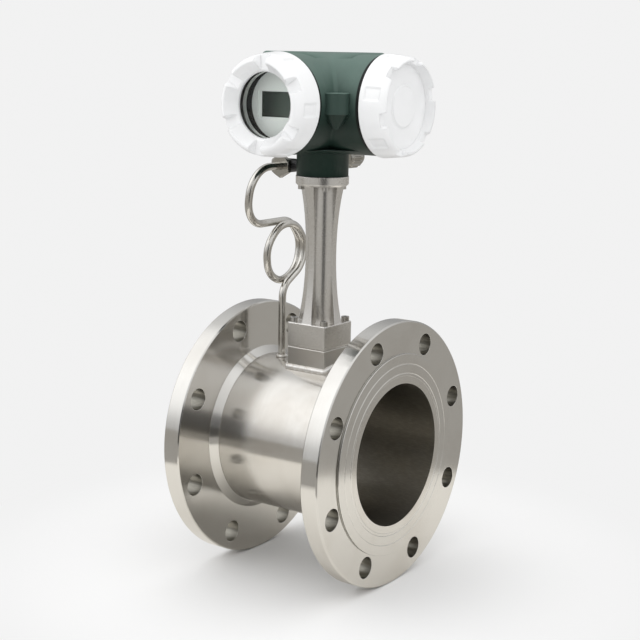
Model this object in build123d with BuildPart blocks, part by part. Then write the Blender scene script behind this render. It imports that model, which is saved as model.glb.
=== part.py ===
"""Vortex flow meter with flanged ends and a pressure take-off. All sizes are in millimetres.

The origin is the centre of the inlet flange's sealing face. X runs with the flow, Z is up,
and the display looks along -Y. The terminal compartment looks along +X.
"""

import os
from math import cos, radians, sin, sqrt, tan

from build123d import *

# Flow tube and flanges
face_to_face = 200.0
bore_diameter = 150.0
tube_diameter = 165.2
flange_diameter = 280.0
flange_thickness = 22.0
bolt_edge = 20.0
bolt_circle = flange_diameter - 2 * bolt_edge
bolt_hole = 23.0
bolt_land = 2.5
raised_face_diameter = bolt_circle - bolt_hole - 2 * bolt_land
raised_face_height = 2.0
bolt_count = 8
bolt_clocking = 2.8
hub_width = 8.0
hub_length = 7.0
hub_lip = 0.8
flange_chamfer = 1.2
face_groove_inner_share = 0.124
face_groove_outer_share = 0.543
face_groove_width = 0.8
face_groove_depth = 0.4
weld_fit = 0.05

# Boss and weld on the crown of the tube
neck_station = 98.0
boss_width = 48.6
boss_height = 20.4
boss_top_chamfer = 1.5
boss_bore = 30.0
corner_chamfer = 1.2
weld_leg = 3.0

# Bluff body and probe
bluff_width = 42.0
bluff_length = 46.0
bluff_tail_width = 9.0
bluff_nose = 4.0
bluff_gap = 12.0
probe_flange_diameter = 38.0
probe_flange_thickness = 6.0
probe_seal_thickness = 1.5
probe_stem_clearance = 0.6
probe_fin_length = 44.0
probe_fin_width = 20.0
probe_fin_thickness = 4.0
probe_lead_diameter = 10.0
probe_lead_length = 45.0

# Neck column
base_width = 49.0
base_height = 25.0
base_top_chamfer = 0.5
base_foot_chamfer = 0.3
column_height = 144.2
column_foot_width = 47.8
column_waist_width = 34.0
column_head_width = 47.0
flute_radius = 12.4
flute_offset = 16.1
neck_flange_diameter = 55.4
neck_flange_thickness = 10.0
neck_flange_chamfer = 2.0
neck_bore = 16.0
neck_gasket_thickness = 0.7

# Cap screws
base_screw_offset = 19.4
base_screw_diameter = 5.0
base_screw_grip = 12.0
base_screw_head = 8.5
neck_screw_offset = 15.5
neck_screw_diameter = 4.0
neck_screw_grip = 8.0
neck_screw_head = 7.0
thread_clearance = 0.05
hole_clearance = 0.25

# Housing
head_rise = 73.6
spigot_diameter = 54.2
spigot_bore = 30.0
block_half_width = 49.0
block_above = 52.0
block_below = 42.0
block_corner_radius = 12.0
block_top_radius = 5.0
block_bottom_radius = 9.0
barrel_diameter = 100.0
barrel_root = 20.0
barrel_reach = 76.2
bend_step = 0.2
valley_radius = 18.0
barrel_lip = 5.5
cover_thread_diameter = barrel_diameter - 2 * barrel_lip
thread_ledge = 6.5
compartment_diameter = cover_thread_diameter - 2 * thread_ledge
shoulder_ledge = 8.0
shoulder_diameter = compartment_diameter - 2 * shoulder_ledge
display_shoulder = 20.0
display_floor = 34.0
terminal_floor = 47.0
cover_thread_depth = 16.0
port_rise = 7.1
gland_rise = 16.1
gland_seat = 30.0
gland_seat_diameter = 23.0

# Covers
cover_diameter = 103.4
cover_front_diameter = 97.4
cover_height = 27.2
cover_back_edge = 0.8
cover_shoulder = 20.5
cover_seal_thickness = 1.2
skirt_length = 14.0
skirt_bore = compartment_diameter + 2.0
rim_inner_diameter = 92.0
floor_diameter = 83.2
floor_depth = 8.0
cover_wall = 5.0
notch_count = 6
notch_angle = 20.0
notch_depth = 8.8
display_notch_start = 26.5
terminal_notch_start = 19.0
pad_angle = 16.0
pad_start = 5.0
pad_length = 12.5
pad_height = 0.5
cover_thread_clearance = 0.05
cover_thread_pitch = 2.0
boss_disc_diameter = 43.4
boss_disc_height = 2.2
glass_diameter = skirt_bore - 7.0
window_diameter = glass_diameter - 7.0
bezel_diameter = window_diameter + 10.0
bezel_height = 2.8
window_lip = 2.4
window_gasket_thickness = 1.0
glass_thickness = 6.0
glass_clearance = 0.2
retainer_thickness = 5.0
retainer_bore = glass_diameter - 6.0

# Electronics pack
cup_clearance = 0.3
cup_wall = 1.6
cup_floor = 2.5
cup_length = 40.0
cup_cable_hole = 25.0
module_screw_circle = compartment_diameter - 10.0
module_screw_diameter = 3.0
module_screw_head = 5.5
module_screw_grip = 7.0
board_thickness = 1.6
board_clearance = 0.8
board_post_circle = compartment_diameter - 16.0
board_post_diameter = 6.0
board_post_height = 13.5
chip_width = 14.0
chip_side_offset = 9.0
chip_rise = 6.0
relay_length = 10.0
relay_width = 6.0
relay_side_offset = 12.0
relay_rise = 12.0
relay_drop = 2.0
can_diameter = 8.0
can_spacing = 12.0
can_drop = 16.0
board_part_height = 4.0
frame_wall = 2.3
frame_height = 22.0
panel_setback = 10.0
panel_thickness = 1.5
panel_seat = 2.2
display_width = compartment_diameter - 22.0
display_height = display_width / 2
display_border = 1.5

# Terminal compartment
terminal_base_thickness = 3.0
terminal_base_clearance = 1.0
terminal_block_width = compartment_diameter - 24.0
terminal_block_height = 20.0
terminal_block_depth = 16.0
terminal_count = 6
terminal_pitch = terminal_block_width / (terminal_count + 0.5)
terminal_screw_diameter = 5.0
feedthrough_diameter = 10.0
feedthrough_offset = 10.0

# Pressure take-off
take_off_station = 48.0
take_off_weld = 13.0
take_off_weld_height = 3.0
tube_od = 8.0
tube_wall = 1.0
tap_diameter = 4.0
tap_land = 3.0
riser_bend_radius = 20.0
riser_bend_angle = 30.0
loop_offset = 7.6
loop_rise = 115.0
loop_radius = 29.5
loop_growth = 2.5
loop_corner_count = 10
loop_start = -60.0
loop_sweep = 510.0
crossing_first = 4
crossing_last = 6
crossing_shift = 8.3
return_drift = 2.8
return_reach = 57.4
return_radius = 28.5
elbow_offset = 47.0
elbow_width = 16.0
elbow_height = 14.0
elbow_front = 6.5
elbow_back = 8.0
elbow_stem_diameter = 11.2
tube_nut_width = 22.0
tube_nut_length = 5.5
tube_nut_chamfer = 1.0
ferrule_length = 4.0
ferrule_wall = 1.8
cell_diameter = 10.0
cell_length = 8.0

# Cable gland
gland_thread_diameter = 16.0
gland_thread_length = 9.0
gland_hex_width = 22.0
gland_hex_length = 5.0
gland_washer_thickness = 0.8
gland_bore = 9.0
gland_collar_length = 11.0
gland_collar_wall = 1.8
gland_nut_gap = 1.0
gland_nut_length = 29.0
gland_nut_diameter = 21.0
gland_nut_mouth = 10.0
gland_ring_thickness = 1.0
rib_count = 5
rib_pitch = 3.6
rib_width = 1.8
rib_height = 0.9
gland_thread_pitch = 1.5

# Derived heights and stations
tube_radius = tube_diameter / 2
boss_top = tube_radius + boss_height
base_top = boss_top + base_height
column_top = base_top + column_height
neck_top = column_top + neck_flange_thickness
spigot_foot = neck_top + neck_gasket_thickness
head_z = spigot_foot + head_rise
cover_seat = barrel_reach + cover_seal_thickness

# Directions that the sub-assemblies are turned about
inlet = Plane(origin=(0, 0, 0), x_dir=(0, 1, 0), z_dir=(1, 0, 0))
outlet = Plane(origin=(face_to_face, 0, 0), x_dir=(0, -1, 0), z_dir=(-1, 0, 0))
neck = Plane(origin=(neck_station, 0, 0), x_dir=(1, 0, 0), z_dir=(0, 0, 1))
display_side = Plane(origin=(neck_station, 0, head_z), x_dir=(1, 0, 0), z_dir=(0, -1, 0))
terminal_side = Plane(origin=(neck_station, 0, head_z), x_dir=(0, 1, 0), z_dir=(1, 0, 0))
port_side = Plane(
    origin=(neck_station, 0, spigot_foot + port_rise), x_dir=(0, -1, 0), z_dir=(-1, 0, 0)
)
gland_side = Plane(
    origin=(neck_station, 0, spigot_foot + gland_rise), x_dir=(-1, 0, 0), z_dir=(0, 1, 0)
)


def section_plane(base):
    """Plane through the axis of base: its x is the radius and its y runs along the axis."""
    return Plane(origin=base.origin, x_dir=base.x_dir, z_dir=base.x_dir.cross(base.z_dir))


def turn(base, outline, mode=Mode.ADD):
    """Revolve an outline of (radius, height) points about the axis of base."""
    with BuildSketch(section_plane(base)) as half_section:
        with BuildLine():
            Polyline(*outline, close=True)
        make_face()
    revolve(half_section.sketch, axis=Axis(base.origin, base.z_dir), mode=mode)


def ring(base, inner, outer, start, end, mode=Mode.ADD):
    """Plain ring between two diameters and two heights along base."""
    with BuildSketch(base.offset(start)) as annulus:
        Circle(outer / 2)
        if inner > 0:
            Circle(inner / 2, mode=Mode.SUBTRACT)
    extrude(annulus.sketch, amount=end - start, mode=mode)


def sector(base, inner, outer, middle, width, start, end, mode=Mode.ADD):
    """Piece of a ring between two radii, spanning width degrees about the middle angle."""
    low = radians(middle - width / 2)
    high = radians(middle + width / 2)
    with BuildSketch(base.offset(start)) as piece:
        with BuildLine():
            Line((inner * cos(low), inner * sin(low)), (outer * cos(low), outer * sin(low)))
            CenterArc((0, 0), outer, middle - width / 2, width)
            Line((outer * cos(high), outer * sin(high)), (inner * cos(high), inner * sin(high)))
            CenterArc((0, 0), inner, middle - width / 2, width)
        make_face()
    extrude(piece.sketch, amount=end - start, mode=mode)


def finish(part, name):
    """Label one finished piece and write it."""
    part.label = name
    export_step(part, f"parts/{name}.step")


os.makedirs("parts", exist_ok=True)


# Flow tube with its hole for the probe and its pressure tap
probe_hole = boss_bore
socket_depth = tube_radius - bore_diameter / 2 - tap_land
with BuildPart() as meter_tube:
    ring(inlet, bore_diameter, tube_diameter, 0, face_to_face)
    with Locations((neck_station, 0, tube_radius)):
        Cylinder(probe_hole / 2, tube_diameter / 2, mode=Mode.SUBTRACT)
    with Locations((take_off_station, 0, tube_radius)):
        Cylinder(tap_diameter / 2, tube_diameter / 2, mode=Mode.SUBTRACT)
    with Locations((take_off_station, 0, tube_radius)):
        Cylinder(tube_od / 2 + weld_fit, 2 * socket_depth, mode=Mode.SUBTRACT)
finish(meter_tube.part, "meter_tube")


def flange(base, clocking):
    """Ring flange on base: raised face at the origin, hub on the inner side."""
    hole = tube_radius + weld_fit
    rim = flange_diameter / 2
    back = flange_thickness
    face = raised_face_diameter / 2
    hub_end = tube_radius + hub_lip
    turn(
        base,
        [
            (hole, 0),
            (face - face_groove_depth, 0),
            (face, face_groove_depth),
            (face, raised_face_height),
            (rim - flange_chamfer, raised_face_height),
            (rim, raised_face_height + flange_chamfer),
            (rim, back - flange_chamfer),
            (rim - flange_chamfer, back),
            (tube_radius + hub_width, back),
            (hub_end, back + hub_length),
            (hole, back + hub_length),
        ],
    )
    for share in (face_groove_inner_share, face_groove_outer_share):
        radius = tube_radius + share * (face - tube_radius)
        half = face_groove_width / 2
        turn(
            base,
            [(radius - half, 0), (radius + half, 0), (radius, face_groove_depth)],
            mode=Mode.SUBTRACT,
        )
    with BuildSketch(base) as bolt_holes:
        with PolarLocations(bolt_circle / 2, bolt_count, start_angle=clocking):
            Circle(bolt_hole / 2)
    extrude(bolt_holes.sketch, amount=flange_thickness, mode=Mode.SUBTRACT)


half_pitch = 180.0 / bolt_count
with BuildPart() as inlet_flange:
    flange(inlet, half_pitch - bolt_clocking)
finish(inlet_flange.part, "inlet_flange")

with BuildPart() as outlet_flange:
    flange(outlet, half_pitch + bolt_clocking)
finish(outlet_flange.part, "outlet_flange")


# Boss on the crown of the tube
probe_seat = boss_top - probe_flange_thickness - probe_seal_thickness
with BuildPart() as sensor_boss:
    with BuildSketch(neck.offset(boss_top)):
        Rectangle(boss_width, boss_width)
        chamfer(vertices(), corner_chamfer)
    extrude(amount=-boss_top)
    boss_rims = sensor_boss.edges().group_by(Axis.Z)[-1]
    chamfer(boss_rims, boss_top_chamfer)
    with Locations(Plane(origin=(neck_station, 0, 0), z_dir=(1, 0, 0))):
        Cylinder(tube_radius + weld_fit, 2 * base_width, mode=Mode.SUBTRACT)
    ring(neck, 0, boss_bore, 0, boss_top, mode=Mode.SUBTRACT)
    ring(neck, 0, probe_flange_diameter + hole_clearance, probe_seat, boss_top, mode=Mode.SUBTRACT)
    with Locations(neck.offset(boss_top)):
        with GridLocations(2 * base_screw_offset, 2 * base_screw_offset, 2, 2):
            Hole(base_screw_diameter / 2 + thread_clearance, depth=base_screw_grip + 1)
finish(sensor_boss.part, "sensor_boss")


# Weld bead that follows the foot of the boss over the round tube
with BuildPart() as boss_weld:
    bead_top = tube_radius + weld_leg * 0.75
    foot_drop = tube_radius - sqrt(tube_radius**2 - (boss_width / 2) ** 2)
    bead_height = bead_top - tube_radius + foot_drop + weld_leg
    with BuildSketch(neck.offset(bead_top)):
        RectangleRounded(boss_width + 1.0, boss_width + 1.0, 2.0)
    extrude(amount=-bead_height, taper=-40)
    with Locations(Plane(origin=(neck_station, 0, 0), z_dir=(1, 0, 0))):
        Cylinder(tube_radius + weld_leg * 0.8, 2 * boss_width, mode=Mode.INTERSECT)
    with Locations(Plane(origin=(neck_station, 0, 0), z_dir=(1, 0, 0))):
        Cylinder(tube_radius + weld_fit, 2 * boss_width, mode=Mode.SUBTRACT)
    with BuildSketch(neck):
        Rectangle(boss_width + 2 * weld_fit, boss_width + 2 * weld_fit)
    extrude(amount=boss_top, mode=Mode.SUBTRACT)
finish(boss_weld.part, "boss_weld")


# Bluff body: a wedge across the full height of the bore, its flat side upstream
probe_stem_radius = boss_bore / 2 - probe_stem_clearance
bluff_back = neck_station - probe_fin_width / 2 - bluff_gap
bluff_front = bluff_back - bluff_length
with BuildPart() as bluff_body:
    with BuildSketch(Plane.XY.offset(-tube_radius)):
        with BuildLine():
            Polyline(
                (bluff_front, bluff_width / 2),
                (bluff_front + bluff_nose, bluff_width / 2),
                (bluff_back, bluff_tail_width / 2),
                (bluff_back, -bluff_tail_width / 2),
                (bluff_front + bluff_nose, -bluff_width / 2),
                (bluff_front, -bluff_width / 2),
                close=True,
            )
        make_face()
    extrude(amount=tube_diameter)
    with Locations(Plane(origin=(bluff_front, 0, 0), z_dir=(1, 0, 0))):
        Cylinder(bore_diameter / 2 - weld_fit, 4 * bluff_length, mode=Mode.INTERSECT)
finish(bluff_body.part, "bluff_body")


# Probe: clamped flange, stem through the boss, fin in the stream and lead tube above
probe_stem_foot = bore_diameter / 2 - 8.0
with BuildPart() as vortex_probe:
    flange_foot = probe_seat + probe_seal_thickness
    ring(neck, 0, probe_flange_diameter, flange_foot, boss_top)
    ring(neck, 0, 2 * probe_stem_radius, probe_stem_foot, boss_top)
    ring(neck, 0, probe_lead_diameter, boss_top, boss_top + probe_lead_length)
    with BuildSketch(neck.offset(probe_stem_foot)):
        SlotOverall(probe_fin_width, probe_fin_thickness)
    extrude(amount=-probe_fin_length)
finish(vortex_probe.part, "vortex_probe")

with BuildPart() as probe_seal:
    ring(neck, boss_bore + 1.0, probe_flange_diameter, probe_seat, flange_foot)
finish(probe_seal.part, "probe_seal")


# Neck column: square base, waisted column with four flutes, round flange
with BuildPart() as neck_column:
    waist_z = (base_top + column_top) / 2
    foot = column_foot_width / 2
    waist = column_waist_width / 2
    head = column_head_width / 2
    with BuildSketch(Plane.XZ.offset(-base_width)):
        with BuildLine():
            Line((neck_station - foot, base_top), (neck_station + foot, base_top))
            ThreePointArc(
                (neck_station + foot, base_top),
                (neck_station + waist, waist_z),
                (neck_station + head, column_top),
            )
            Line((neck_station + head, column_top), (neck_station - head, column_top))
            ThreePointArc(
                (neck_station - head, column_top),
                (neck_station - waist, waist_z),
                (neck_station - foot, base_top),
            )
        make_face()
    extrude(amount=2 * base_width)
    with BuildSketch(Plane.YZ.offset(neck_station - base_width)):
        with BuildLine():
            Line((-foot, base_top), (foot, base_top))
            ThreePointArc((foot, base_top), (waist, waist_z), (head, column_top))
            Line((head, column_top), (-head, column_top))
            ThreePointArc((-head, column_top), (-waist, waist_z), (-foot, base_top))
        make_face()
    extrude(amount=2 * base_width, mode=Mode.INTERSECT)
    with BuildSketch(neck.offset(base_top)):
        with GridLocations(2 * flute_offset, 2 * flute_offset, 2, 2):
            Circle(flute_radius)
    extrude(amount=column_height, mode=Mode.SUBTRACT)
    with BuildSketch(neck.offset(boss_top)):
        Rectangle(base_width, base_width)
        chamfer(vertices(), corner_chamfer)
    extrude(amount=base_height - base_top_chamfer)
    base_rims = neck_column.edges().group_by(Axis.Z)[0]
    chamfer(base_rims, base_foot_chamfer)
    with BuildSketch(neck.offset(base_top - base_top_chamfer)) as base_cap:
        Rectangle(base_width, base_width)
        chamfer(base_cap.vertices(), corner_chamfer)
    extrude(base_cap.sketch, amount=base_top_chamfer, taper=45)
    turn(
        neck,
        [
            (0, column_top),
            (neck_flange_diameter / 2 - neck_flange_chamfer, column_top),
            (neck_flange_diameter / 2, column_top + neck_flange_chamfer),
            (neck_flange_diameter / 2, neck_top),
            (0, neck_top),
        ],
    )
    ring(neck, 0, neck_bore, boss_top, neck_top, mode=Mode.SUBTRACT)
    with Locations(neck.offset(base_top)):
        with GridLocations(2 * base_screw_offset, 2 * base_screw_offset, 2, 2):
            Hole(base_screw_diameter / 2 + hole_clearance, depth=base_height)
    with Locations(neck.offset(neck_top)):
        with GridLocations(2 * neck_screw_offset, 2 * neck_screw_offset, 2, 2):
            Hole(neck_screw_diameter / 2 + hole_clearance, depth=neck_flange_thickness)
finish(neck_column.part, "neck_column")

with BuildPart() as base_screws:
    with Locations(neck.offset(base_top)):
        with GridLocations(2 * base_screw_offset, 2 * base_screw_offset, 2, 2):
            Cylinder(
                base_screw_head / 2,
                base_screw_diameter,
                align=(Align.CENTER, Align.CENTER, Align.MIN),
            )
            Cylinder(
                base_screw_diameter / 2,
                base_height + base_screw_grip,
                align=(Align.CENTER, Align.CENTER, Align.MAX),
            )
    with BuildSketch(neck.offset(base_top + base_screw_diameter * 0.4)):
        with GridLocations(2 * base_screw_offset, 2 * base_screw_offset, 2, 2):
            RegularPolygon(base_screw_diameter * 0.46, 6)
    extrude(amount=base_screw_diameter, mode=Mode.SUBTRACT)
finish(base_screws.part, "base_screws")

with BuildPart() as neck_screws:
    screw_reach = neck_flange_thickness + neck_gasket_thickness + neck_screw_grip
    with Locations(neck.offset(column_top)):
        with GridLocations(2 * neck_screw_offset, 2 * neck_screw_offset, 2, 2):
            Cylinder(
                neck_screw_head / 2,
                neck_screw_diameter,
                align=(Align.CENTER, Align.CENTER, Align.MAX),
            )
            Cylinder(
                neck_screw_diameter / 2,
                screw_reach,
                align=(Align.CENTER, Align.CENTER, Align.MIN),
            )
finish(neck_screws.part, "neck_screws")

with BuildPart() as neck_gasket:
    ring(neck, spigot_bore, spigot_diameter, neck_top, spigot_foot)
    with Locations(neck.offset(spigot_foot)):
        with GridLocations(2 * neck_screw_offset, 2 * neck_screw_offset, 2, 2):
            Hole(neck_screw_diameter / 2 + hole_clearance, depth=neck_gasket_thickness)
finish(neck_gasket.part, "neck_gasket")


# Housing: rounded block, two barrels joined by a quarter bend, and the spigot below.
# The last few millimetres of each barrel are a node of their own, flush with it.
bend_radius = barrel_diameter / 2 + valley_radius
with BuildPart() as housing:
    with BuildSketch(neck.offset(head_z - block_below)):
        RectangleRounded(2 * block_half_width, 2 * block_half_width, block_corner_radius)
    extrude(amount=block_above + block_below)
    fillet(housing.edges().group_by(Axis.Z)[-1], block_top_radius)
    fillet(housing.edges().group_by(Axis.Z)[0], block_bottom_radius)
    ring(display_side, 0, barrel_diameter, barrel_root, bend_radius)
    ring(terminal_side, 0, barrel_diameter, barrel_root, bend_radius)
    bend_axis = Axis((neck_station + bend_radius, -bend_radius, head_z), (0, 0, -1))
    with BuildSketch(display_side.offset(bend_radius)):
        Circle(barrel_diameter / 2 - bend_step)
    revolve(axis=bend_axis, revolution_arc=90)
    ring(neck, 0, spigot_diameter, spigot_foot, head_z)
    ring(gland_side, 0, gland_seat_diameter, 0, gland_seat)
    ring(display_side, 0, compartment_diameter, display_shoulder, bend_radius, Mode.SUBTRACT)
    ring(display_side, 0, shoulder_diameter, -display_floor, display_shoulder, Mode.SUBTRACT)
    thread_start = barrel_reach - cover_thread_depth
    ring(display_side, 0, cover_thread_diameter, thread_start, bend_radius, Mode.SUBTRACT)
    ring(terminal_side, 0, compartment_diameter, terminal_floor, bend_radius, Mode.SUBTRACT)
    ring(terminal_side, 0, cover_thread_diameter, thread_start, bend_radius, Mode.SUBTRACT)
    ring(neck, 0, spigot_bore, spigot_foot, head_z, mode=Mode.SUBTRACT)
    port_hole = elbow_stem_diameter + 2 * thread_clearance
    ring(port_side, 0, port_hole, 0, spigot_diameter, mode=Mode.SUBTRACT)
    gland_hole = gland_thread_diameter + 2 * thread_clearance
    ring(gland_side, 0, gland_hole, 0, gland_seat, mode=Mode.SUBTRACT)
    with Locations(neck.offset(spigot_foot)):
        with GridLocations(2 * neck_screw_offset, 2 * neck_screw_offset, 2, 2):
            Cylinder(
                neck_screw_diameter / 2 + thread_clearance,
                neck_screw_grip + 1,
                align=(Align.CENTER, Align.CENTER, Align.MIN),
                mode=Mode.SUBTRACT,
            )
    with Locations(display_side.offset(display_shoulder)):
        with PolarLocations(module_screw_circle / 2, 3, start_angle=90):
            Hole(module_screw_diameter / 2 + thread_clearance, depth=module_screw_grip + 1)
    sealed_way = Plane(
        origin=(neck_station, -feedthrough_offset, head_z), x_dir=(0, 1, 0), z_dir=(1, 0, 0)
    )
    ring(sealed_way, 0, feedthrough_diameter, 0, terminal_floor, mode=Mode.SUBTRACT)
finish(housing.part, "housing")

with BuildPart() as display_barrel_end:
    ring(display_side, cover_thread_diameter, barrel_diameter, bend_radius, barrel_reach)
finish(display_barrel_end.part, "display_barrel_end")

with BuildPart() as terminal_barrel_end:
    ring(terminal_side, cover_thread_diameter, barrel_diameter, bend_radius, barrel_reach)
finish(terminal_barrel_end.part, "terminal_barrel_end")


# Covers
def cover_outline():
    """Outer half-section of a cover, from the skirt's inner end round to the rim's inner foot."""
    return [
        (skirt_bore / 2, -skirt_length),
        (cover_thread_diameter / 2 - cover_thread_clearance - 0.8, -skirt_length),
        (cover_thread_diameter / 2 - cover_thread_clearance, -skirt_length + 0.8),
        (cover_thread_diameter / 2 - cover_thread_clearance, 0),
        (cover_diameter / 2 - cover_back_edge, 0),
        (cover_diameter / 2, cover_back_edge),
        (cover_diameter / 2 - 0.5, cover_shoulder),
        (cover_front_diameter / 2, cover_height),
        (rim_inner_diameter / 2, cover_height),
        (floor_diameter / 2, cover_height - floor_depth),
    ]


def dress_cover(base, notch_start):
    """Cut the rim notches and raise the side pads, both in step round the cover."""
    step = 360.0 / notch_count
    radius = cover_diameter / 2
    for notch in range(notch_count):
        middle = notch_start + notch * step
        sector(
            base,
            floor_diameter / 2,
            cover_diameter,
            middle,
            notch_angle,
            cover_height - notch_depth,
            cover_height,
            mode=Mode.SUBTRACT,
        )
        sector(
            base,
            radius - 3.0,
            radius + pad_height,
            middle + step / 2,
            pad_angle,
            pad_start,
            pad_start + pad_length,
        )


display_mouth = display_side.offset(cover_seat)
terminal_mouth = terminal_side.offset(cover_seat)
floor_height = cover_height - floor_depth
bezel_top = floor_height + bezel_height
glass_front = bezel_top - window_lip - window_gasket_thickness
glass_back = glass_front - glass_thickness
retainer_back = glass_back - retainer_thickness
glass_pocket = glass_diameter / 2 + glass_clearance
with BuildPart() as display_cover:
    turn(
        display_mouth,
        cover_outline()
        + [
            (bezel_diameter / 2 + bezel_height, floor_height),
            (bezel_diameter / 2, bezel_top),
            (window_diameter / 2, bezel_top),
            (window_diameter / 2, bezel_top - window_lip),
            (glass_pocket, bezel_top - window_lip),
            (glass_pocket, retainer_back),
            (skirt_bore / 2, retainer_back - 2.0),
        ],
    )
    dress_cover(display_mouth, display_notch_start)
finish(display_cover.part, "display_cover")

with BuildPart() as terminal_cover:
    turn(
        terminal_mouth,
        cover_outline()
        + [
            (boss_disc_diameter / 2 + boss_disc_height, floor_height),
            (boss_disc_diameter / 2, floor_height + boss_disc_height),
            (0, floor_height + boss_disc_height),
            (0, floor_height - cover_wall),
            (skirt_bore / 2 - 3.0, floor_height - cover_wall),
            (skirt_bore / 2, floor_height - cover_wall - 3.0),
        ],
    )
    dress_cover(terminal_mouth, terminal_notch_start)
finish(terminal_cover.part, "terminal_cover")

seal_inner = cover_thread_diameter + 0.4
seal_outer = barrel_diameter - 0.6
with BuildPart() as display_cover_seal:
    ring(display_side, seal_inner, seal_outer, barrel_reach, cover_seat)
finish(display_cover_seal.part, "display_cover_seal")

with BuildPart() as terminal_cover_seal:
    ring(terminal_side, seal_inner, seal_outer, barrel_reach, cover_seat)
finish(terminal_cover_seal.part, "terminal_cover_seal")

with BuildPart() as window_gasket:
    gasket_front = bezel_top - window_lip
    ring(display_mouth, window_diameter, glass_diameter, glass_front, gasket_front)
finish(window_gasket.part, "window_gasket")

with BuildPart() as window_glass:
    ring(display_mouth, 0, glass_diameter, glass_back, glass_front)
finish(window_glass.part, "window_glass")

with BuildPart() as window_retainer:
    ring(display_mouth, retainer_bore, 2 * glass_pocket - 0.1, retainer_back, glass_back)
    with BuildSketch(display_mouth.offset(retainer_back)):
        with PolarLocations(glass_pocket, 2):
            Rectangle(4.0, 3.0)
    extrude(amount=2.0, mode=Mode.SUBTRACT)
finish(window_retainer.part, "window_retainer")


# Electronics pack on the shoulder of the display compartment
cup_radius = compartment_diameter / 2 - cup_clearance
cup_top = display_shoulder + cup_length
board_seat = display_shoulder + cup_floor + board_post_height
with BuildPart() as module_cup:
    ring(display_side, 0, 2 * cup_radius, display_shoulder, cup_top)
    inner = 2 * (cup_radius - cup_wall)
    ring(display_side, 0, inner, display_shoulder + cup_floor, cup_top, mode=Mode.SUBTRACT)
    with Locations(display_side.offset(display_shoulder + cup_floor)):
        with PolarLocations(module_screw_circle / 2, 3, start_angle=90):
            Hole(module_screw_diameter / 2 + hole_clearance, depth=cup_floor)
    ring(display_side, 0, cup_cable_hole, display_shoulder, board_seat, mode=Mode.SUBTRACT)
finish(module_cup.part, "module_cup")

with BuildPart() as module_screws:
    with Locations(display_side.offset(display_shoulder + cup_floor)):
        with PolarLocations(module_screw_circle / 2, 3, start_angle=90):
            Cylinder(
                module_screw_diameter / 2,
                cup_floor + module_screw_grip,
                align=(Align.CENTER, Align.CENTER, Align.MAX),
            )
    with BuildSketch(display_side.offset(display_shoulder + cup_floor)):
        with PolarLocations(module_screw_circle / 2, 3, start_angle=90):
            Circle(module_screw_head / 2)
    extrude(amount=module_screw_diameter / 2)
finish(module_screws.part, "module_screws")

with BuildPart() as board_posts:
    with Locations(display_side.offset(display_shoulder + cup_floor)):
        with PolarLocations(board_post_circle / 2, 4, start_angle=45):
            Cylinder(
                board_post_diameter / 2,
                board_post_height,
                align=(Align.CENTER, Align.CENTER, Align.MIN),
            )
finish(board_posts.part, "board_posts")

with BuildPart() as main_board:
    board_radius = cup_radius - cup_wall - board_clearance
    ring(display_side, 0, 2 * board_radius, board_seat, board_seat + board_thickness)
    parts_face = display_side.offset(board_seat + board_thickness)
    with BuildSketch(parts_face):
        with Locations((-chip_side_offset, chip_rise)):
            Rectangle(chip_width, chip_width)
        with Locations((relay_side_offset, relay_rise), (relay_side_offset, -relay_drop)):
            Rectangle(relay_length, relay_width)
        with Locations((-can_spacing / 2, -can_drop), (can_spacing / 2, -can_drop)):
            Circle(can_diameter / 2)
    extrude(amount=board_part_height)
finish(main_board.part, "main_board")

with BuildPart() as display_board:
    ring(display_side, 0, 2 * cup_radius - 1.0, cup_top, cup_top + board_thickness)
finish(display_board.part, "display_board")

frame_foot = cup_top + board_thickness
frame_top = frame_foot + frame_height
panel_face = frame_top - panel_setback
panel_back = panel_face - panel_thickness
frame_radius = cup_radius - 0.7
with BuildPart() as display_frame:
    frame_bore = frame_radius - frame_wall
    turn(
        display_side,
        [
            (frame_bore - panel_seat, frame_foot),
            (frame_radius, frame_foot),
            (frame_radius, frame_top),
            (frame_bore, frame_top),
            (frame_bore, panel_back),
            (frame_bore - panel_seat, panel_back),
        ],
    )
finish(display_frame.part, "display_frame")

with BuildPart() as display_panel:
    ring(display_side, 0, 2 * (frame_bore - 0.15), panel_back, panel_face)
    with BuildSketch(display_side.offset(panel_back)):
        Rectangle(display_width, display_height)
    extrude(amount=panel_thickness, mode=Mode.SUBTRACT)
finish(display_panel.part, "display_panel")

with BuildPart() as display_module:
    with BuildSketch(display_side.offset(frame_foot)):
        Rectangle(display_width + 2 * display_border, display_height + 2 * display_border)
    extrude(amount=panel_back - frame_foot)
finish(display_module.part, "display_module")


# Terminals
base_top_face = terminal_floor + terminal_base_thickness
with BuildPart() as terminal_base:
    base_radius = compartment_diameter / 2 - terminal_base_clearance
    ring(terminal_side, 0, 2 * base_radius, terminal_floor, base_top_face)
finish(terminal_base.part, "terminal_base")

with BuildPart() as terminal_block:
    with BuildSketch(terminal_side.offset(base_top_face)):
        Rectangle(terminal_block_width, terminal_block_height)
    extrude(amount=terminal_block_depth)
    block_front = base_top_face + terminal_block_depth
    with BuildSketch(terminal_side.offset(block_front)):
        with GridLocations(terminal_pitch, 1, terminal_count, 1):
            Circle(terminal_screw_diameter / 2 + hole_clearance)
    extrude(amount=-terminal_block_depth / 2, mode=Mode.SUBTRACT)
finish(terminal_block.part, "terminal_block")

with BuildPart() as terminal_screws:
    with BuildSketch(terminal_side.offset(block_front - terminal_block_depth / 2)):
        with GridLocations(terminal_pitch, 1, terminal_count, 1):
            Circle(terminal_screw_diameter / 2)
    extrude(amount=terminal_block_depth / 2 - 2.0)
    with BuildSketch(terminal_side.offset(block_front - 3.0)):
        with GridLocations(terminal_pitch, 1, terminal_count, 1):
            Rectangle(terminal_screw_diameter, 0.8)
    extrude(amount=1.0, mode=Mode.SUBTRACT)
finish(terminal_screws.part, "terminal_screws")

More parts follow.
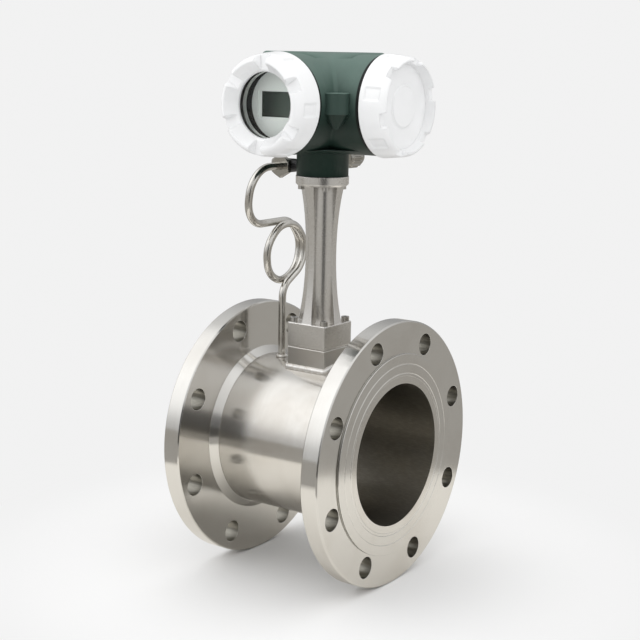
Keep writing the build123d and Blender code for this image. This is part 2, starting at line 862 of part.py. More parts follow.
with BuildPart() as feedthrough:
    way_start = shoulder_diameter / 2
    way_width = feedthrough_diameter - 2 * thread_clearance
    ring(sealed_way, 0, way_width, way_start, terminal_floor)
finish(feedthrough.part, "feedthrough")


# Pressure take-off: riser, loop, return bend and the fittings at the spigot
port_z = spigot_foot + port_rise
elbow_x = neck_station - elbow_offset
tube_foot_z = bore_diameter / 2 + tap_land
loop_z = tube_radius + loop_rise
loop_step = loop_sweep / loop_corner_count


def crossing_share(corner):
    """How far the loop has moved over to its second turn at one of its corners, 0 to 1."""
    share = (corner + 1 - crossing_first) / (crossing_last + 1 - crossing_first)
    return min(max(share, 0.0), 1.0)


def loop_corner(corner):
    """Corner of the outline that the loop's arcs are tangent to."""
    share = crossing_share(corner)
    angle = radians(loop_start + loop_step * (corner + 0.5))
    radius = (loop_radius + loop_growth * share) / cos(radians(loop_step / 2))
    return Vector(
        take_off_station - crossing_shift * share,
        loop_offset + radius * cos(angle),
        loop_z + radius * sin(angle),
    )


first_corner = loop_corner(0)
slope = tan(radians(riser_bend_angle))
riser_top = first_corner.Z - first_corner.Y * slope
return_x = take_off_station - crossing_shift + return_drift
run_z = loop_z + loop_radius + loop_growth
nut_front = -elbow_front - tube_nut_length
tube_end = -tap_diameter / 2
route = [
    Vector(take_off_station, 0, tube_foot_z),
    Vector(take_off_station, 0, riser_top),
    *[loop_corner(corner) for corner in range(loop_corner_count)],
    Vector(return_x, -return_reach, run_z),
    Vector(elbow_x, -return_reach, port_z),
    Vector(elbow_x, tube_end, port_z),
]
bend_radii = [riser_bend_radius] + [loop_radius * 0.94] * loop_corner_count + [return_radius] * 2
with BuildPart() as pressure_tube:
    with BuildLine() as tube_path:
        FilletPolyline(*route, radius=bend_radii)
    with BuildSketch(Plane(origin=route[0], z_dir=(0, 0, 1))):
        Circle(tube_od / 2)
        Circle(tube_od / 2 - tube_wall, mode=Mode.SUBTRACT)
    sweep(path=tube_path.wires()[0])
print("pressure tube length", round(tube_path.wires()[0].length, 2))
print("pressure tube volume", round(pressure_tube.part.volume, 1))
finish(pressure_tube.part, "pressure_tube")

with BuildPart() as foot_weld:
    take_off = Plane(origin=(take_off_station, 0, 0), z_dir=(0, 0, 1))
    weld_top = tube_radius + take_off_weld_height
    turn(
        take_off,
        [
            (tube_od / 2 + weld_fit, tube_radius - 1.0),
            (take_off_weld / 2, tube_radius - 1.0),
            (take_off_weld / 2, tube_radius),
            (tube_od / 2 + 1.0, weld_top),
            (tube_od / 2 + weld_fit, weld_top),
        ],
    )
    with Locations(Plane(origin=(take_off_station, 0, 0), z_dir=(1, 0, 0))):
        Cylinder(tube_radius + weld_fit, 2 * take_off_weld, mode=Mode.SUBTRACT)
finish(foot_weld.part, "foot_weld")

nut_side = Plane(origin=(elbow_x, 0, port_z), x_dir=(1, 0, 0), z_dir=(0, -1, 0))
spigot_face = spigot_diameter / 2
with BuildPart() as pressure_elbow:
    with BuildSketch(nut_side.offset(-elbow_back)):
        RectangleRounded(elbow_width, elbow_height, 2.0)
    extrude(amount=elbow_back + elbow_front)
    stem_end = spigot_bore / 2
    ring(port_side, 0, elbow_stem_diameter, stem_end, elbow_offset)
    tube_hole = tube_od + 2 * thread_clearance
    seal_pocket = tube_od + 2 * ferrule_wall
    pocket_floor = elbow_front - ferrule_length
    ring(nut_side, 0, tube_hole, 0, elbow_front, mode=Mode.SUBTRACT)
    ring(nut_side, 0, seal_pocket, pocket_floor, elbow_front, mode=Mode.SUBTRACT)
    ring(port_side, 0, tap_diameter, stem_end, elbow_offset, mode=Mode.SUBTRACT)
finish(pressure_elbow.part, "pressure_elbow")

with BuildPart() as tube_ferrule:
    ring(nut_side, tube_hole, seal_pocket - 2 * thread_clearance, pocket_floor, elbow_front)
finish(tube_ferrule.part, "tube_ferrule")

with BuildPart() as pressure_cell:
    ring(port_side, 0, cell_diameter, stem_end - cell_length, stem_end)
finish(pressure_cell.part, "pressure_cell")

with BuildPart() as tube_nut:
    nut_tip = elbow_front + tube_nut_length
    with BuildSketch(nut_side.offset(elbow_front)):
        RegularPolygon(tube_nut_width / 2, 6, major_radius=False, rotation=30)
    extrude(amount=tube_nut_length)
    corner_radius = tube_nut_width / 2 / cos(radians(30))
    turn(
        nut_side,
        [
            (tube_od / 2 + hole_clearance, elbow_front),
            (corner_radius, elbow_front),
            (corner_radius, nut_tip - tube_nut_chamfer),
            (corner_radius - 2 * tube_nut_chamfer, nut_tip),
            (tube_od / 2 + hole_clearance, nut_tip),
        ],
        mode=Mode.INTERSECT,
    )
finish(tube_nut.part, "tube_nut")


# Cable gland on the far side of the spigot
hex_start = gland_seat + gland_washer_thickness
hex_end = hex_start + gland_hex_length
collar_end = hex_end + gland_collar_length
collar_diameter = gland_bore + 2 * gland_collar_wall + 2.4
with BuildPart() as gland_body:
    ring(gland_side, 0, gland_thread_diameter, gland_seat - gland_thread_length, hex_end)
    with BuildSketch(gland_side.offset(hex_start)):
        RegularPolygon(gland_hex_width / 2, 6, major_radius=False, rotation=30)
    extrude(amount=gland_hex_length)
    ring(gland_side, 0, collar_diameter, hex_end, collar_end)
    ring(gland_side, 0, gland_bore, gland_seat - gland_thread_length, collar_end, Mode.SUBTRACT)
finish(gland_body.part, "gland_body")

with BuildPart() as gland_washer:
    ring(gland_side, gland_hole, gland_hex_width - 1.0, gland_seat, hex_start)
finish(gland_washer.part, "gland_washer")

nut_start = hex_end + gland_nut_gap
nut_end = nut_start + gland_nut_length
nut_bore = collar_diameter + 2 * 0.05
insert_end = collar_end + 6.0
with BuildPart() as gland_insert:
    ring(gland_side, gland_nut_mouth - 2.0, collar_diameter - 1.0, collar_end, insert_end)
finish(gland_insert.part, "gland_insert")

ring_end = insert_end + gland_ring_thickness
with BuildPart() as gland_ring:
    ring(gland_side, gland_nut_mouth, collar_diameter - 1.0, insert_end, ring_end)
finish(gland_ring.part, "gland_ring")

with BuildPart() as gland_nut:
    nut_radius = gland_nut_diameter / 2
    dome = nut_end - 4.0
    turn(
        gland_side,
        [
            (nut_bore / 2, nut_start),
            (nut_radius - 0.6, nut_start),
            (nut_radius, nut_start + 0.6),
            (nut_radius, dome - 2.0),
            (nut_radius - 2.4, nut_end),
            (gland_nut_mouth / 2, nut_end),
            (gland_nut_mouth / 2, ring_end),
            (nut_bore / 2, ring_end),
        ],
    )
    for rib in range(rib_count):
        rib_start = dome - 2.0 - rib_pitch * (rib + 1)
        ring(
            gland_side,
            gland_nut_diameter - 1.0,
            gland_nut_diameter + 2 * rib_height,
            rib_start,
            rib_start + rib_width,
        )
finish(gland_nut.part, "gland_nut")
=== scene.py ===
"""Looks of a flanged vortex flow meter with a two-compartment head and a siphon-looped tube.

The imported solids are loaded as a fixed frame. Each sub-assembly is a class that dresses its
solids and adds the pieces that need mesh work: the mitred housing, the screw covers, the
ribbed nut and the rippled weld beads. Lengths are in metres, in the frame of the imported
model, but sections of turned pieces are in millimetres.
"""

import logging
import math
from dataclasses import dataclass
from enum import Enum

import bmesh
import bpy
from mathutils import Matrix, Vector, noise

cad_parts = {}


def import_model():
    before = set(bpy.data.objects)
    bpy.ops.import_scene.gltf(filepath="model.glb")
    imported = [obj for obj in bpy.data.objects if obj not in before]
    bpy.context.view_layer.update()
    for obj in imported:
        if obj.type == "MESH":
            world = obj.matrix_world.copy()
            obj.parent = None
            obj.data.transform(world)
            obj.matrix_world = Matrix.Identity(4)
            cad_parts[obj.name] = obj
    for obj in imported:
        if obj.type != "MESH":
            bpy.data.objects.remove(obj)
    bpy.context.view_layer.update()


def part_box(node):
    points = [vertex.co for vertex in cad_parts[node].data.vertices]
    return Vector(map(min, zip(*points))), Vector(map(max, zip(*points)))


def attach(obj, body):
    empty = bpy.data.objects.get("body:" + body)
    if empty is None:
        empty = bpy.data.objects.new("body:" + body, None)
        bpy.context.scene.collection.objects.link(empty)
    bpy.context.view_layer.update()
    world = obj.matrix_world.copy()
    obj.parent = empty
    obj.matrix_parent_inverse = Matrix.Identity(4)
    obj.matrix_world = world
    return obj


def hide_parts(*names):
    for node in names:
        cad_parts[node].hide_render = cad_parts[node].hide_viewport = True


LOG = logging.getLogger("flow_meter")

Socket = bpy.types.NodeSocket
Number = float | int | Socket
Pair = tuple[float, float]
Triple = tuple[float, float, float]

MM = 0.001
TINY = 1e-9


class Along(Enum):
    """Direction of an axis in the frame, with the index of its component."""

    FLOW = 0
    ACROSS = 1
    UP = 2


class Grain(Enum):
    """What a tool left on a metal surface."""

    TURNED = "rings about an axis"
    CAST = "blasted casting skin"
    MILLED = "straight cutter lines"
    PLAIN = "barrel-finished, without lines"


@dataclass(frozen=True)
class Spindle:
    """Axis that a piece was turned about."""

    centre: Triple
    along: Along


FLOW_AXIS = Spindle((0.1, 0.0, 0.0), Along.FLOW)
NECK_AXIS = Spindle((0.098, 0.0, 0.2), Along.UP)
DISPLAY_AXIS = Spindle((0.098, 0.0, 0.3565), Along.ACROSS)
TERMINAL_AXIS = Spindle((0.098, 0.0, 0.3565), Along.FLOW)
GLAND_AXIS = Spindle((0.098, 0.05, 0.299), Along.ACROSS)


class Graph:
    """A shader node tree with short ways to add what the finishes need."""

    def __init__(self, tree: bpy.types.NodeTree) -> None:
        """Clear the tree and keep it.

        Args:
            tree: Node tree of a material or of the world.
        """
        self.tree = tree
        tree.nodes.clear()
        self.place = self.add("ShaderNodeTexCoord")

    def add(
        self, kind: str, inputs: dict[str | int, object] | None = None, **settings: object
    ) -> bpy.types.Node:
        """Add a node, set its options and fill its sockets.

        Args:
            kind: Type name of the node.
            inputs: Plain values, or sockets to link from, by socket name or number.
            **settings: Options of the node itself.

        Returns:
            The new node.
        """
        node = self.tree.nodes.new(kind)
        for name, value in settings.items():
            setattr(node, name, value)
        for name, value in (inputs or {}).items():
            if isinstance(value, bpy.types.NodeSocket):
                self.tree.links.new(value, node.inputs[name])
            else:
                node.inputs[name].default_value = value
        return node

    def maths(self, operation: str, first: Number, second: Number = 0.0) -> Socket:
        """Result of a Math node."""
        return self.add("ShaderNodeMath", {0: first, 1: second}, operation=operation).outputs[0]

    def times(self, first: Number, second: Number) -> Socket:
        """Product of two values."""
        return self.maths("MULTIPLY", first, second)

    def plus(self, first: Number, second: Number) -> Socket:
        """Sum of two values."""
        return self.maths("ADD", first, second)

    def minus(self, first: Number, second: Number) -> Socket:
        """First value less the second."""
        return self.maths("SUBTRACT", first, second)

    def size(self, value: Socket) -> Socket:
        """Value without its sign."""
        return self.maths("ABSOLUTE", value)

    def swing(self, value: Socket, width: float) -> Socket:
        """Swing about zero, of that width, from a value of 0 to 1."""
        return self.times(self.minus(value, 0.5), width)

    def length(self, first: Socket, second: Socket) -> Socket:
        """Length of a vector of two components, never quite zero."""
        squares = self.plus(self.times(first, first), self.times(second, second))
        return self.maths("SQRT", self.plus(squares, TINY))

    def ramp(
        self, value: Number, start: float, end: float, low: float = 0.0, high: float = 1.0
    ) -> Socket:
        """Smooth step from low to high as value goes from start to end."""
        inputs = {0: value, 1: start, 2: end, 3: low, 4: high}
        return self.add("ShaderNodeMapRange", inputs, interpolation_type="SMOOTHSTEP").outputs[0]

    def blend(self, share: Number, first: Number, second: Number) -> Socket:
        """Mix of two values."""
        inputs = {0: share, 2: first, 3: second}
        return self.add("ShaderNodeMix", inputs, data_type="FLOAT").outputs[0]

    def tint(self, share: Number, first: object, second: object) -> Socket:
        """Mix of two colours, given as triples or sockets."""
        sides = [v if isinstance(v, bpy.types.NodeSocket) else (*v, 1.0) for v in (first, second)]
        inputs = {0: share, 6: sides[0], 7: sides[1]}
        return self.add("ShaderNodeMix", inputs, data_type="RGBA").outputs[2]

    def vector(self, x: Number, y: Number, z: Number) -> Socket:
        """Vector made of three values."""
        return self.add("ShaderNodeCombineXYZ", {0: x, 1: y, 2: z}).outputs[0]

    def parts(self, vector: Socket) -> list[Socket]:
        """The three components of a vector."""
        return list(self.add("ShaderNodeSeparateXYZ", {0: vector}).outputs)

    def vectors(self, operation: str, first: Socket, second: object) -> bpy.types.Node:
        """Vector Math node on two vectors."""
        return self.add("ShaderNodeVectorMath", {0: first, 1: second}, operation=operation)

    def scaled(self, vector: Socket, scale: Triple) -> Socket:
        """Vector with each component multiplied."""
        return self.vectors("MULTIPLY", vector, scale).outputs[0]

    def cloud(
        self, vector: Socket, scale: float, detail: float = 3.0, rough: float = 0.5
    ) -> Socket:
        """Soft noise from 0 to 1."""
        inputs = {"Vector": vector, "Scale": scale, "Detail": detail, "Roughness": rough}
        return self.add("ShaderNodeTexNoise", inputs).outputs[0]

    @property
    def here(self) -> Socket:
        """Position in the frame, which stays with the piece as it moves."""
        return self.place.outputs["Object"]

    @property
    def facing(self) -> list[Socket]:
        """The three components of the surface's direction in the frame."""
        return self.parts(self.place.outputs["Normal"])

    def about(self, spindle: Spindle) -> tuple[Socket, Socket, Socket, Socket]:
        """Position about an axis.

        Args:
            spindle: The axis.

        Returns:
            Height along the axis, radius from it, and the two parts of the unit radius.
        """
        parts = self.parts(self.vectors("SUBTRACT", self.here, spindle.centre).outputs[0])
        height = parts.pop(spindle.along.value)
        radius = self.length(*parts)
        side_a, side_b = (self.maths("DIVIDE", part, radius) for part in parts)
        return height, radius, side_a, side_b

    def bump(self, height: Socket, depth: float, base: Socket | None = None) -> Socket:
        """Normal of a relief.

        Args:
            height: Height from 0 to 1.
            depth: Depth of the relief.
            base: Normal that the relief is laid on.

        Returns:
            The bumped normal.
        """
        inputs = {"Height": height, "Distance": depth, "Strength": 1.0}
        if base is not None:
            inputs["Normal"] = base
        return self.add("ShaderNodeBump", inputs).outputs[0]

    def softened(self, radius: float) -> Socket | None:
        """Normal with the edges rounded, or none for a radius of zero."""
        if not radius:
            return None
        return self.add("ShaderNodeBevel", {"Radius": radius}, samples=4).outputs[0]

    def corner_share(self, rounded: Socket) -> Socket:
        """Where an edge is near, from 0 on flat stretches to 1 on the edge itself.

        Args:
            rounded: Normal with the edges rounded.

        Returns:
            Share of edge, which takes the painted edge highlight.
        """
        flat = self.add("ShaderNodeNewGeometry").outputs["Normal"]
        agreement = self.vectors("DOT_PRODUCT", rounded, flat).outputs["Value"]
        return self.ramp(agreement, 0.99, 0.90)

    def either_ray(self, first: str, second: str) -> Socket:
        """One for rays of either of two kinds, zero for others."""
        rays = self.add("ShaderNodeLightPath").outputs
        return self.maths("MAXIMUM", rays[first], rays[second])

    def mirrored(self) -> Socket:
        """One for rays that a shiny surface sends out, zero for others."""
        return self.add("ShaderNodeLightPath").outputs["Is Glossy Ray"]

    def surface(self, inputs: dict[str | int, object]) -> Socket:
        """General surface shader with those inputs."""
        return self.add("ShaderNodeBsdfPrincipled", inputs).outputs[0]

    def either_shader(self, share: Socket, first: Socket, second: Socket) -> Socket:
        """Mix of two shaders."""
        return self.add("ShaderNodeMixShader", {0: share, 1: first, 2: second}).outputs[0]


@dataclass(frozen=True)
class ThreadZone:
    """Band of a turned wall that carries a bare thread."""

    spindle: Spindle
    radius: float
    start: float
    end: float
    pitch: float = 0.002
    soft: float = 0.0003

    def mask_and_relief(self, graph: Graph) -> tuple[Socket, Socket]:
        """Where the thread is, and its profile.

        Args:
            graph: Node tree to add to.

        Returns:
            Share of bare metal, and height of the thread from 0 to 1.
        """
        height, radius, side_a, side_b = graph.about(self.spindle)
        off_wall = graph.size(graph.minus(radius, self.radius))
        near = graph.ramp(off_wall, 2 * self.soft, self.soft)
        above = graph.ramp(height, self.start, self.start + self.soft)
        below = graph.ramp(height, self.end, self.end - self.soft)
        angle = graph.maths("ARCTAN2", side_a, side_b)
        turns = graph.minus(graph.times(height, 1.0 / self.pitch), graph.times(angle, 1 / math.tau))
        profile = graph.times(graph.maths("PINGPONG", turns, 0.5), 2.0)
        return graph.times(near, graph.times(above, below)), profile


@dataclass(frozen=True)
class SealAndShadeLine:
    """Black line at the mouth of a barrel: the cover's rubber seal, and painted shade under the cover's
    overhang.
    """

    spindle: Spindle
    mouth: float
    width: float = 0.0028
    soft: float = 0.0003

    def share(self, graph: Graph) -> Socket:
        """Share of black from 0 to 1."""
        height = graph.about(self.spindle)[0]
        beyond = graph.minus(graph.size(height), self.mouth - self.width)
        return graph.ramp(beyond, -self.soft, self.soft)


@dataclass(frozen=True)
class DrilledWallShade:
    """Walls between two radii, rough as the drill or the boring bar left them, and given a darker colour
    as painted shade.
    """

    inner: float
    outer: float
    colour: Triple
    roughness: float
    soft: float = 0.0004
    streaks: Triple = (160.0, 900.0, 900.0)
    streak_gain: float = 1.22

    def share(self, graph: Graph, spindle: Spindle) -> Socket:
        """Where those walls are, which the polishing wheel didn't reach.

        Args:
            graph: Node tree to add to.
            spindle: Axis that the radii are measured from.

        Returns:
            Share of the walls' painted shade from 0 to 1.
        """
        radius = graph.about(spindle)[1]
        steep = graph.ramp(graph.size(graph.facing[spindle.along.value]), 0.6, 0.3)
        inside = graph.ramp(radius, self.inner - self.soft, self.inner)
        outside = graph.ramp(radius, self.outer + self.soft, self.outer)
        return graph.times(steep, graph.times(inside, outside))

    def wall(self, graph: Graph) -> Socket:
        """Darker colour of those walls, which is painted shade.

        Args:
            graph: Node tree to add to.

        Returns:
            Colour with the streaks of the tool.
        """
        drawn_out = graph.scaled(graph.here, self.streaks)
        streaks = graph.cloud(drawn_out, 1.0, detail=3.0, rough=0.6)
        pale = tuple(min(1.0, self.streak_gain * part) for part in self.colour)
        return graph.tint(graph.ramp(streaks, 0.40, 0.70), self.colour, pale)


@dataclass(frozen=True)
class Finish:
    """Surface of a piece, which becomes a material of the same name."""

    name: str

    def shader(self, graph: Graph) -> Socket:
        """Shader of this finish, given by each kind of finish."""
        raise NotImplementedError(self.name)

    def make(self) -> bpy.types.Material:
        """Material of this finish.

        Returns:
            The new material.
        """
        material = bpy.data.materials.new(self.name)
        material.use_nodes = True
        graph = Graph(material.node_tree)
        graph.add("ShaderNodeOutputMaterial", {0: self.shader(graph)})
        return material


@dataclass(frozen=True)
class MetalFinish(Finish):
    """Bare metal with the marks of the tool that shaped it."""

    colour: Triple
    roughness: float
    grain: Grain = Grain.PLAIN
    spindle: Spindle = FLOW_AXIS
    lines: float = 700.0
    face_slope: float = 0.9
    ring_waver: float = 1.5
    stroke_pitch: float = 40.0
    fleck: float = 260.0
    depth: float = 0.00001
    spread: float = 0.08
    contrast: float = 0.12
    anisotropy: float = 0.0
    lay: float = 0.25
    stain: Triple = (0.45, 0.38, 0.30)
    stain_share: float = 0.15
    stain_scale: float = 18.0
    stain_range: Pair = (0.42, 0.72)
    edge: float = 0.0
    # Share and colour of a pale mix at the edges: painted highlight, partly rubbed wear.
    worn_edge_highlight: float = 0.0
    rubbed_highlight_colour: Triple = (0.93, 0.92, 0.90)
    least_roughness: float = 0.05
    drilled_wall_shade: DrilledWallShade | None = None

    def marks(self, graph: Graph) -> Socket:
        """Fine lines or skin of the metal.

        Args:
            graph: Node tree to add to.

        Returns:
            Height of the marks from 0 to 1.
        """
        if self.grain is Grain.TURNED:
            height, radius, side_a, side_b = graph.about(self.spindle)
            run = graph.plus(height, graph.times(radius, self.face_slope))
            round_it = [graph.times(side, self.ring_waver) for side in (side_a, side_b)]
            rings = graph.vector(graph.times(run, self.lines), *round_it)
            return graph.cloud(rings, 1.0, detail=4.0, rough=0.65)
        if self.grain is Grain.MILLED:
            x, y, z = graph.parts(graph.here)
            across = graph.times(graph.plus(x, y), self.stroke_pitch)
            strokes = graph.vector(across, graph.times(z, self.lines), 0.0)
            return graph.cloud(strokes, 1.0, detail=3.0, rough=0.6)
        if self.grain is Grain.CAST:
            return graph.cloud(graph.here, self.lines, detail=4.0, rough=0.6)
        return graph.cloud(graph.here, self.fleck)

    def shader(self, graph: Graph) -> Socket:
        """Stained and streaked metal, with painted shade on its drilled walls and a painted highlight at
        its edges, partly rubbed wear.

        Args:
            graph: Node tree to add to.

        Returns:
            The shader.
        """
        marks = self.marks(graph)
        patches = graph.cloud(graph.here, self.stain_scale, detail=4.0, rough=0.55)
        dirt = graph.times(graph.ramp(patches, *self.stain_range), self.stain_share)
        soiled = graph.plus(dirt, graph.swing(marks, self.contrast))
        colour = graph.tint(soiled, self.colour, self.stain)
        uneven = graph.plus(graph.swing(patches, self.spread * 1.2), graph.swing(marks, self.spread))
        rough = graph.plus(uneven, self.roughness)
        # Painted shade: the bore and the bolt holes get a darker colour.
        if self.drilled_wall_shade is not None:
            share = self.drilled_wall_shade.share(graph, self.spindle)
            colour = graph.tint(share, colour, self.drilled_wall_shade.wall(graph))
            rough = graph.blend(share, rough, self.drilled_wall_shade.roughness)
        rounded = graph.softened(self.edge)
        # Painted highlight: edges are mixed towards a pale colour, partly as rubbed wear.
        if rounded is not None and self.worn_edge_highlight:
            worn_edge_highlight = graph.times(graph.corner_share(rounded), self.worn_edge_highlight)
            colour = graph.tint(worn_edge_highlight, colour, self.rubbed_highlight_colour)
        inputs = {
            "Base Color": colour,
            "Metallic": 1.0,
            "Roughness": graph.maths("MAXIMUM", rough, self.least_roughness),
            "Normal": graph.bump(marks, self.depth, rounded),
            "Anisotropic": self.anisotropy,
        }
        if self.anisotropy:
            axis = "XYZ"[self.spindle.along.value]
            tangent = graph.add("ShaderNodeTangent", direction_type="RADIAL", axis=axis)
            inputs["Tangent"] = tangent.outputs[0]
            inputs["Anisotropic Rotation"] = self.lay
        return graph.surface(inputs)


@dataclass(frozen=True)
class PaintFinish(Finish):
    """Sprayed or powder paint, with a bare thread where there is one, and a black line of seal and
    painted shade where there is one.
    """

    colour: Triple
    shade: Triple
    roughness: float
    coat: float = 0.0
    coat_roughness: float = 0.12
    gloss: float = 0.5
    peel: float = 0.00003
    peel_scale: float = 900.0
    patch_scale: float = 30.0
    edge: float = 0.0006
    # Paler colour painted on faces that look upwards as painted top light, and the range of upward
    # facing that takes it.
    haze: Triple | None = None
    top_light_range: Pair = (-0.45, 0.8)
    thread: ThreadZone | None = None
    thread_depth: float = 0.0006
    bare: Triple = (0.62, 0.62, 0.61)
    seal_and_shade: SealAndShadeLine | None = None
    # Black of the band at a barrel's mouth: seal and painted shade.
    rubber: Triple = (0.004, 0.006, 0.005)

    def shader(self, graph: Graph) -> Socket:
        """Cloudy paint with a fine orange peel, with painted top light that makes it paler where it
        looks upwards.

        Args:
            graph: Node tree to add to.

        Returns:
            The shader.
        """
        patches = graph.cloud(graph.here, self.patch_scale, detail=4.0)
        speck = graph.cloud(graph.here, self.peel_scale, detail=2.0)
        colour = graph.tint(graph.ramp(patches, 0.3, 0.8), self.colour, self.shade)
        rough = graph.plus(graph.swing(patches, 0.12), self.roughness)
        # Painted top light: faces that look upwards are mixed towards the paler colour.
        if self.haze is not None:
            upward = graph.ramp(graph.facing[2], *self.top_light_range)
            painted_top_light = graph.times(upward, graph.ramp(patches, 0.0, 0.9, 0.7, 1.0))
            colour = graph.tint(painted_top_light, colour, self.haze)
            rough = graph.plus(rough, graph.times(painted_top_light, 0.06))
        # Painted shade: a black band at the barrel's mouth, for the seal and the shade under the cover.
        if self.seal_and_shade is not None:
            colour = graph.tint(self.seal_and_shade.share(graph), colour, self.rubber)
        normal = graph.bump(speck, self.peel, graph.softened(self.edge))
        metal: Number = 0.0
        if self.thread is not None:
            metal, profile = self.thread.mask_and_relief(graph)
            colour = graph.tint(metal, colour, self.bare)
            rough = graph.blend(metal, rough, 0.3)
            normal = graph.bump(graph.times(metal, profile), self.thread_depth, normal)
        return graph.surface(
            {
                "Metallic": metal,
                "Base Color": colour,
                "Roughness": rough,
                "Normal": normal,
                "Coat Weight": self.coat,
                "Coat Roughness": self.coat_roughness,
                "Specular IOR Level": self.gloss,
            }
        )


@dataclass(frozen=True)
class MouldedFinish(Finish):
    """Moulded plastic or rubber with a fine spark-eroded skin."""

    colour: Triple
    dust: Triple
    roughness: float
    gloss: float = 0.5
    skin: float = 2200.0
    patch_scale: float = 90.0
    depth: float = 0.00002
    edge: float = 0.0003

    def shader(self, graph: Graph) -> Socket:
        """Dusty, finely pitted skin.

        Args:
            graph: Node tree to add to.

        Returns:
            The shader.
        """
        skin = graph.cloud(graph.here, self.skin, detail=2.0)
        patches = graph.cloud(graph.here, self.patch_scale, detail=3.0, rough=0.6)
        dusty = graph.ramp(patches, 0.45, 0.8, 0.0, 0.5)
        return graph.surface(
            {
                "Base Color": graph.tint(dusty, self.colour, self.dust),
                "Roughness": graph.plus(graph.swing(patches, 0.15), self.roughness),
                "Normal": graph.bump(skin, self.depth, graph.softened(self.edge)),
                "Specular IOR Level": self.gloss,
            }
        )


@dataclass(frozen=True)
class WindowFinish(Finish):
    """Toughened glass, clear, with a slight green tint at its depth."""

    tint: Triple = (0.985, 0.995, 0.99)
    bending: float = 1.22
    haze_scale: float = 55.0
    gloss: float = 0.15

    def shader(self, graph: Graph) -> Socket:
        """Clear glass that lets light through to what lies behind it.

        Args:
            graph: Node tree to add to.

        Returns:
            The shader.
        """
        haze = graph.cloud(graph.here, self.haze_scale, detail=3.0, rough=0.6)
        glass = graph.surface(
            {
                "Base Color": (*self.tint, 1.0),
                "Roughness": graph.ramp(haze, 0.45, 0.9, 0.0, 0.05),
                "IOR": self.bending,
                "Specular IOR Level": self.gloss,
                "Transmission Weight": 1.0,
            }
        )
        clear = graph.add("ShaderNodeBsdfTransparent", {0: (*self.tint, 1.0)}).outputs[0]
        return graph.either_shader(graph.either_ray("Is Shadow Ray", "Is Diffuse Ray"), glass, clear)


@dataclass(frozen=True)
class ScreenFinish(Finish):
    """Blank liquid-crystal display: dark glass with a black border, in a pale surround."""

    centre: Triple = (0.098, -0.066, 0.3565)
    half_width: float = 0.0228
    half_height: float = 0.0125
    border: Pair = (0.0012, 0.0008)
    soft: float = 0.0001
    reflection_end: float = 0.02
    cell_scale: float = 1400.0
    # Dark glass, and the paler colour of its painted reflection towards one side.
    glass: Triple = (0.010, 0.019, 0.014)
    light: Triple = (0.105, 0.132, 0.112)
    rim: Triple = (0.006, 0.008, 0.007)
    surround: Triple = (0.86, 0.90, 0.87)

    def beyond(self, graph: Graph, inner: float, outer: float) -> Socket:
        """Where the face has reached its edge.

        Args:
            graph: Node tree to add to.
            inner: How far inside the edge the share starts from 0.
            outer: How far inside the edge it comes to 1, and below zero for outside it.

        Returns:
            Share from 0 to 1.
        """
        x, _, z = graph.parts(graph.here)
        sides = ((x, self.centre[0], self.half_width), (z, self.centre[2], self.half_height))
        shares = []
        for place, middle, half in sides:
            off_middle = graph.size(graph.minus(place, middle))
            shares.append(graph.ramp(off_middle, half - inner, half - outer))
        return graph.maths("MAXIMUM", *shares)

    def shader(self, graph: Graph) -> Socket:
        """Dark glass, paler towards one side as a painted reflection, with its border and surround.

        Args:
            graph: Node tree to add to.

        Returns:
            The shader.
        """
        x = graph.parts(graph.here)[0]
        # Painted reflection: the glass pales towards one side.
        painted_reflection = graph.ramp(x, self.centre[0] - self.half_width, self.centre[0] + self.reflection_end)
        body = graph.tint(graph.times(painted_reflection, 0.8), self.glass, self.light)
        bordered = graph.times(self.beyond(graph, *self.border), 0.85)
        face = graph.tint(bordered, body, self.rim)
        past_edge = self.beyond(graph, self.soft, -self.soft)
        flat = graph.scaled(graph.here, (1.0, 0.0, 1.0))
        cells = graph.cloud(flat, self.cell_scale, detail=1.0, rough=0.4)
        return graph.surface(
            {
                "Base Color": graph.tint(past_edge, face, self.surround),
                "Roughness": graph.ramp(cells, 0.3, 0.8, 0.22, 0.30),
                "Specular IOR Level": 0.1,
            }
        )


@dataclass(frozen=True)
class BoardFinish(Finish):
    """Circuit board with green lacquer, copper tracks under it and bare pads."""

    lacquer: Triple = (0.010, 0.085, 0.040)
    track: Triple = (0.025, 0.150, 0.065)
    solder: Triple = (0.60, 0.60, 0.58)
    relief: float = 0.00003
    pad_scale: float = 260.0
    track_scale: float = 90.0

    def shader(self, graph: Graph) -> Socket:
        """Lacquer, tracks and pads.

        Args:
            graph: Node tree to add to.

        Returns:
            The shader.
        """
        x, _, z = graph.parts(graph.here)
        flat = graph.vector(x, 0.0, z)
        cells = graph.add(
            "ShaderNodeTexVoronoi", {"Vector": flat, "Scale": self.pad_scale}, distance="CHEBYCHEV"
        )
        tracks = graph.add("ShaderNodeTexBrick", {"Vector": flat, "Scale": self.track_scale})
        pads = graph.ramp(cells.outputs["Distance"], 0.22, 0.18)
        lines = graph.ramp(tracks.outputs["Fac"], 0.4, 0.6)
        return graph.surface(
            {
                "Base Color": graph.tint(pads, graph.tint(lines, self.lacquer, self.track), self.solder),
                "Metallic": graph.times(pads, 0.9),
                "Roughness": graph.ramp(pads, 0.0, 1.0, 0.28, 0.4),
                "Normal": graph.bump(graph.maths("MAXIMUM", pads, lines), self.relief),
            }
        )


def dress(material: bpy.types.Material, *nodes: str) -> None:
    """Give solids of the frame one material.

    Args:
        material: Material for all of their slots.
        *nodes: Names of the solids.
    """
    for node in nodes:
        solid = bpy.data.objects[node]
        if not solid.material_slots:
            solid.data.materials.append(material)
        for place in solid.material_slots:
            place.material = material
        LOG.info("%s has %s", node, material.name)


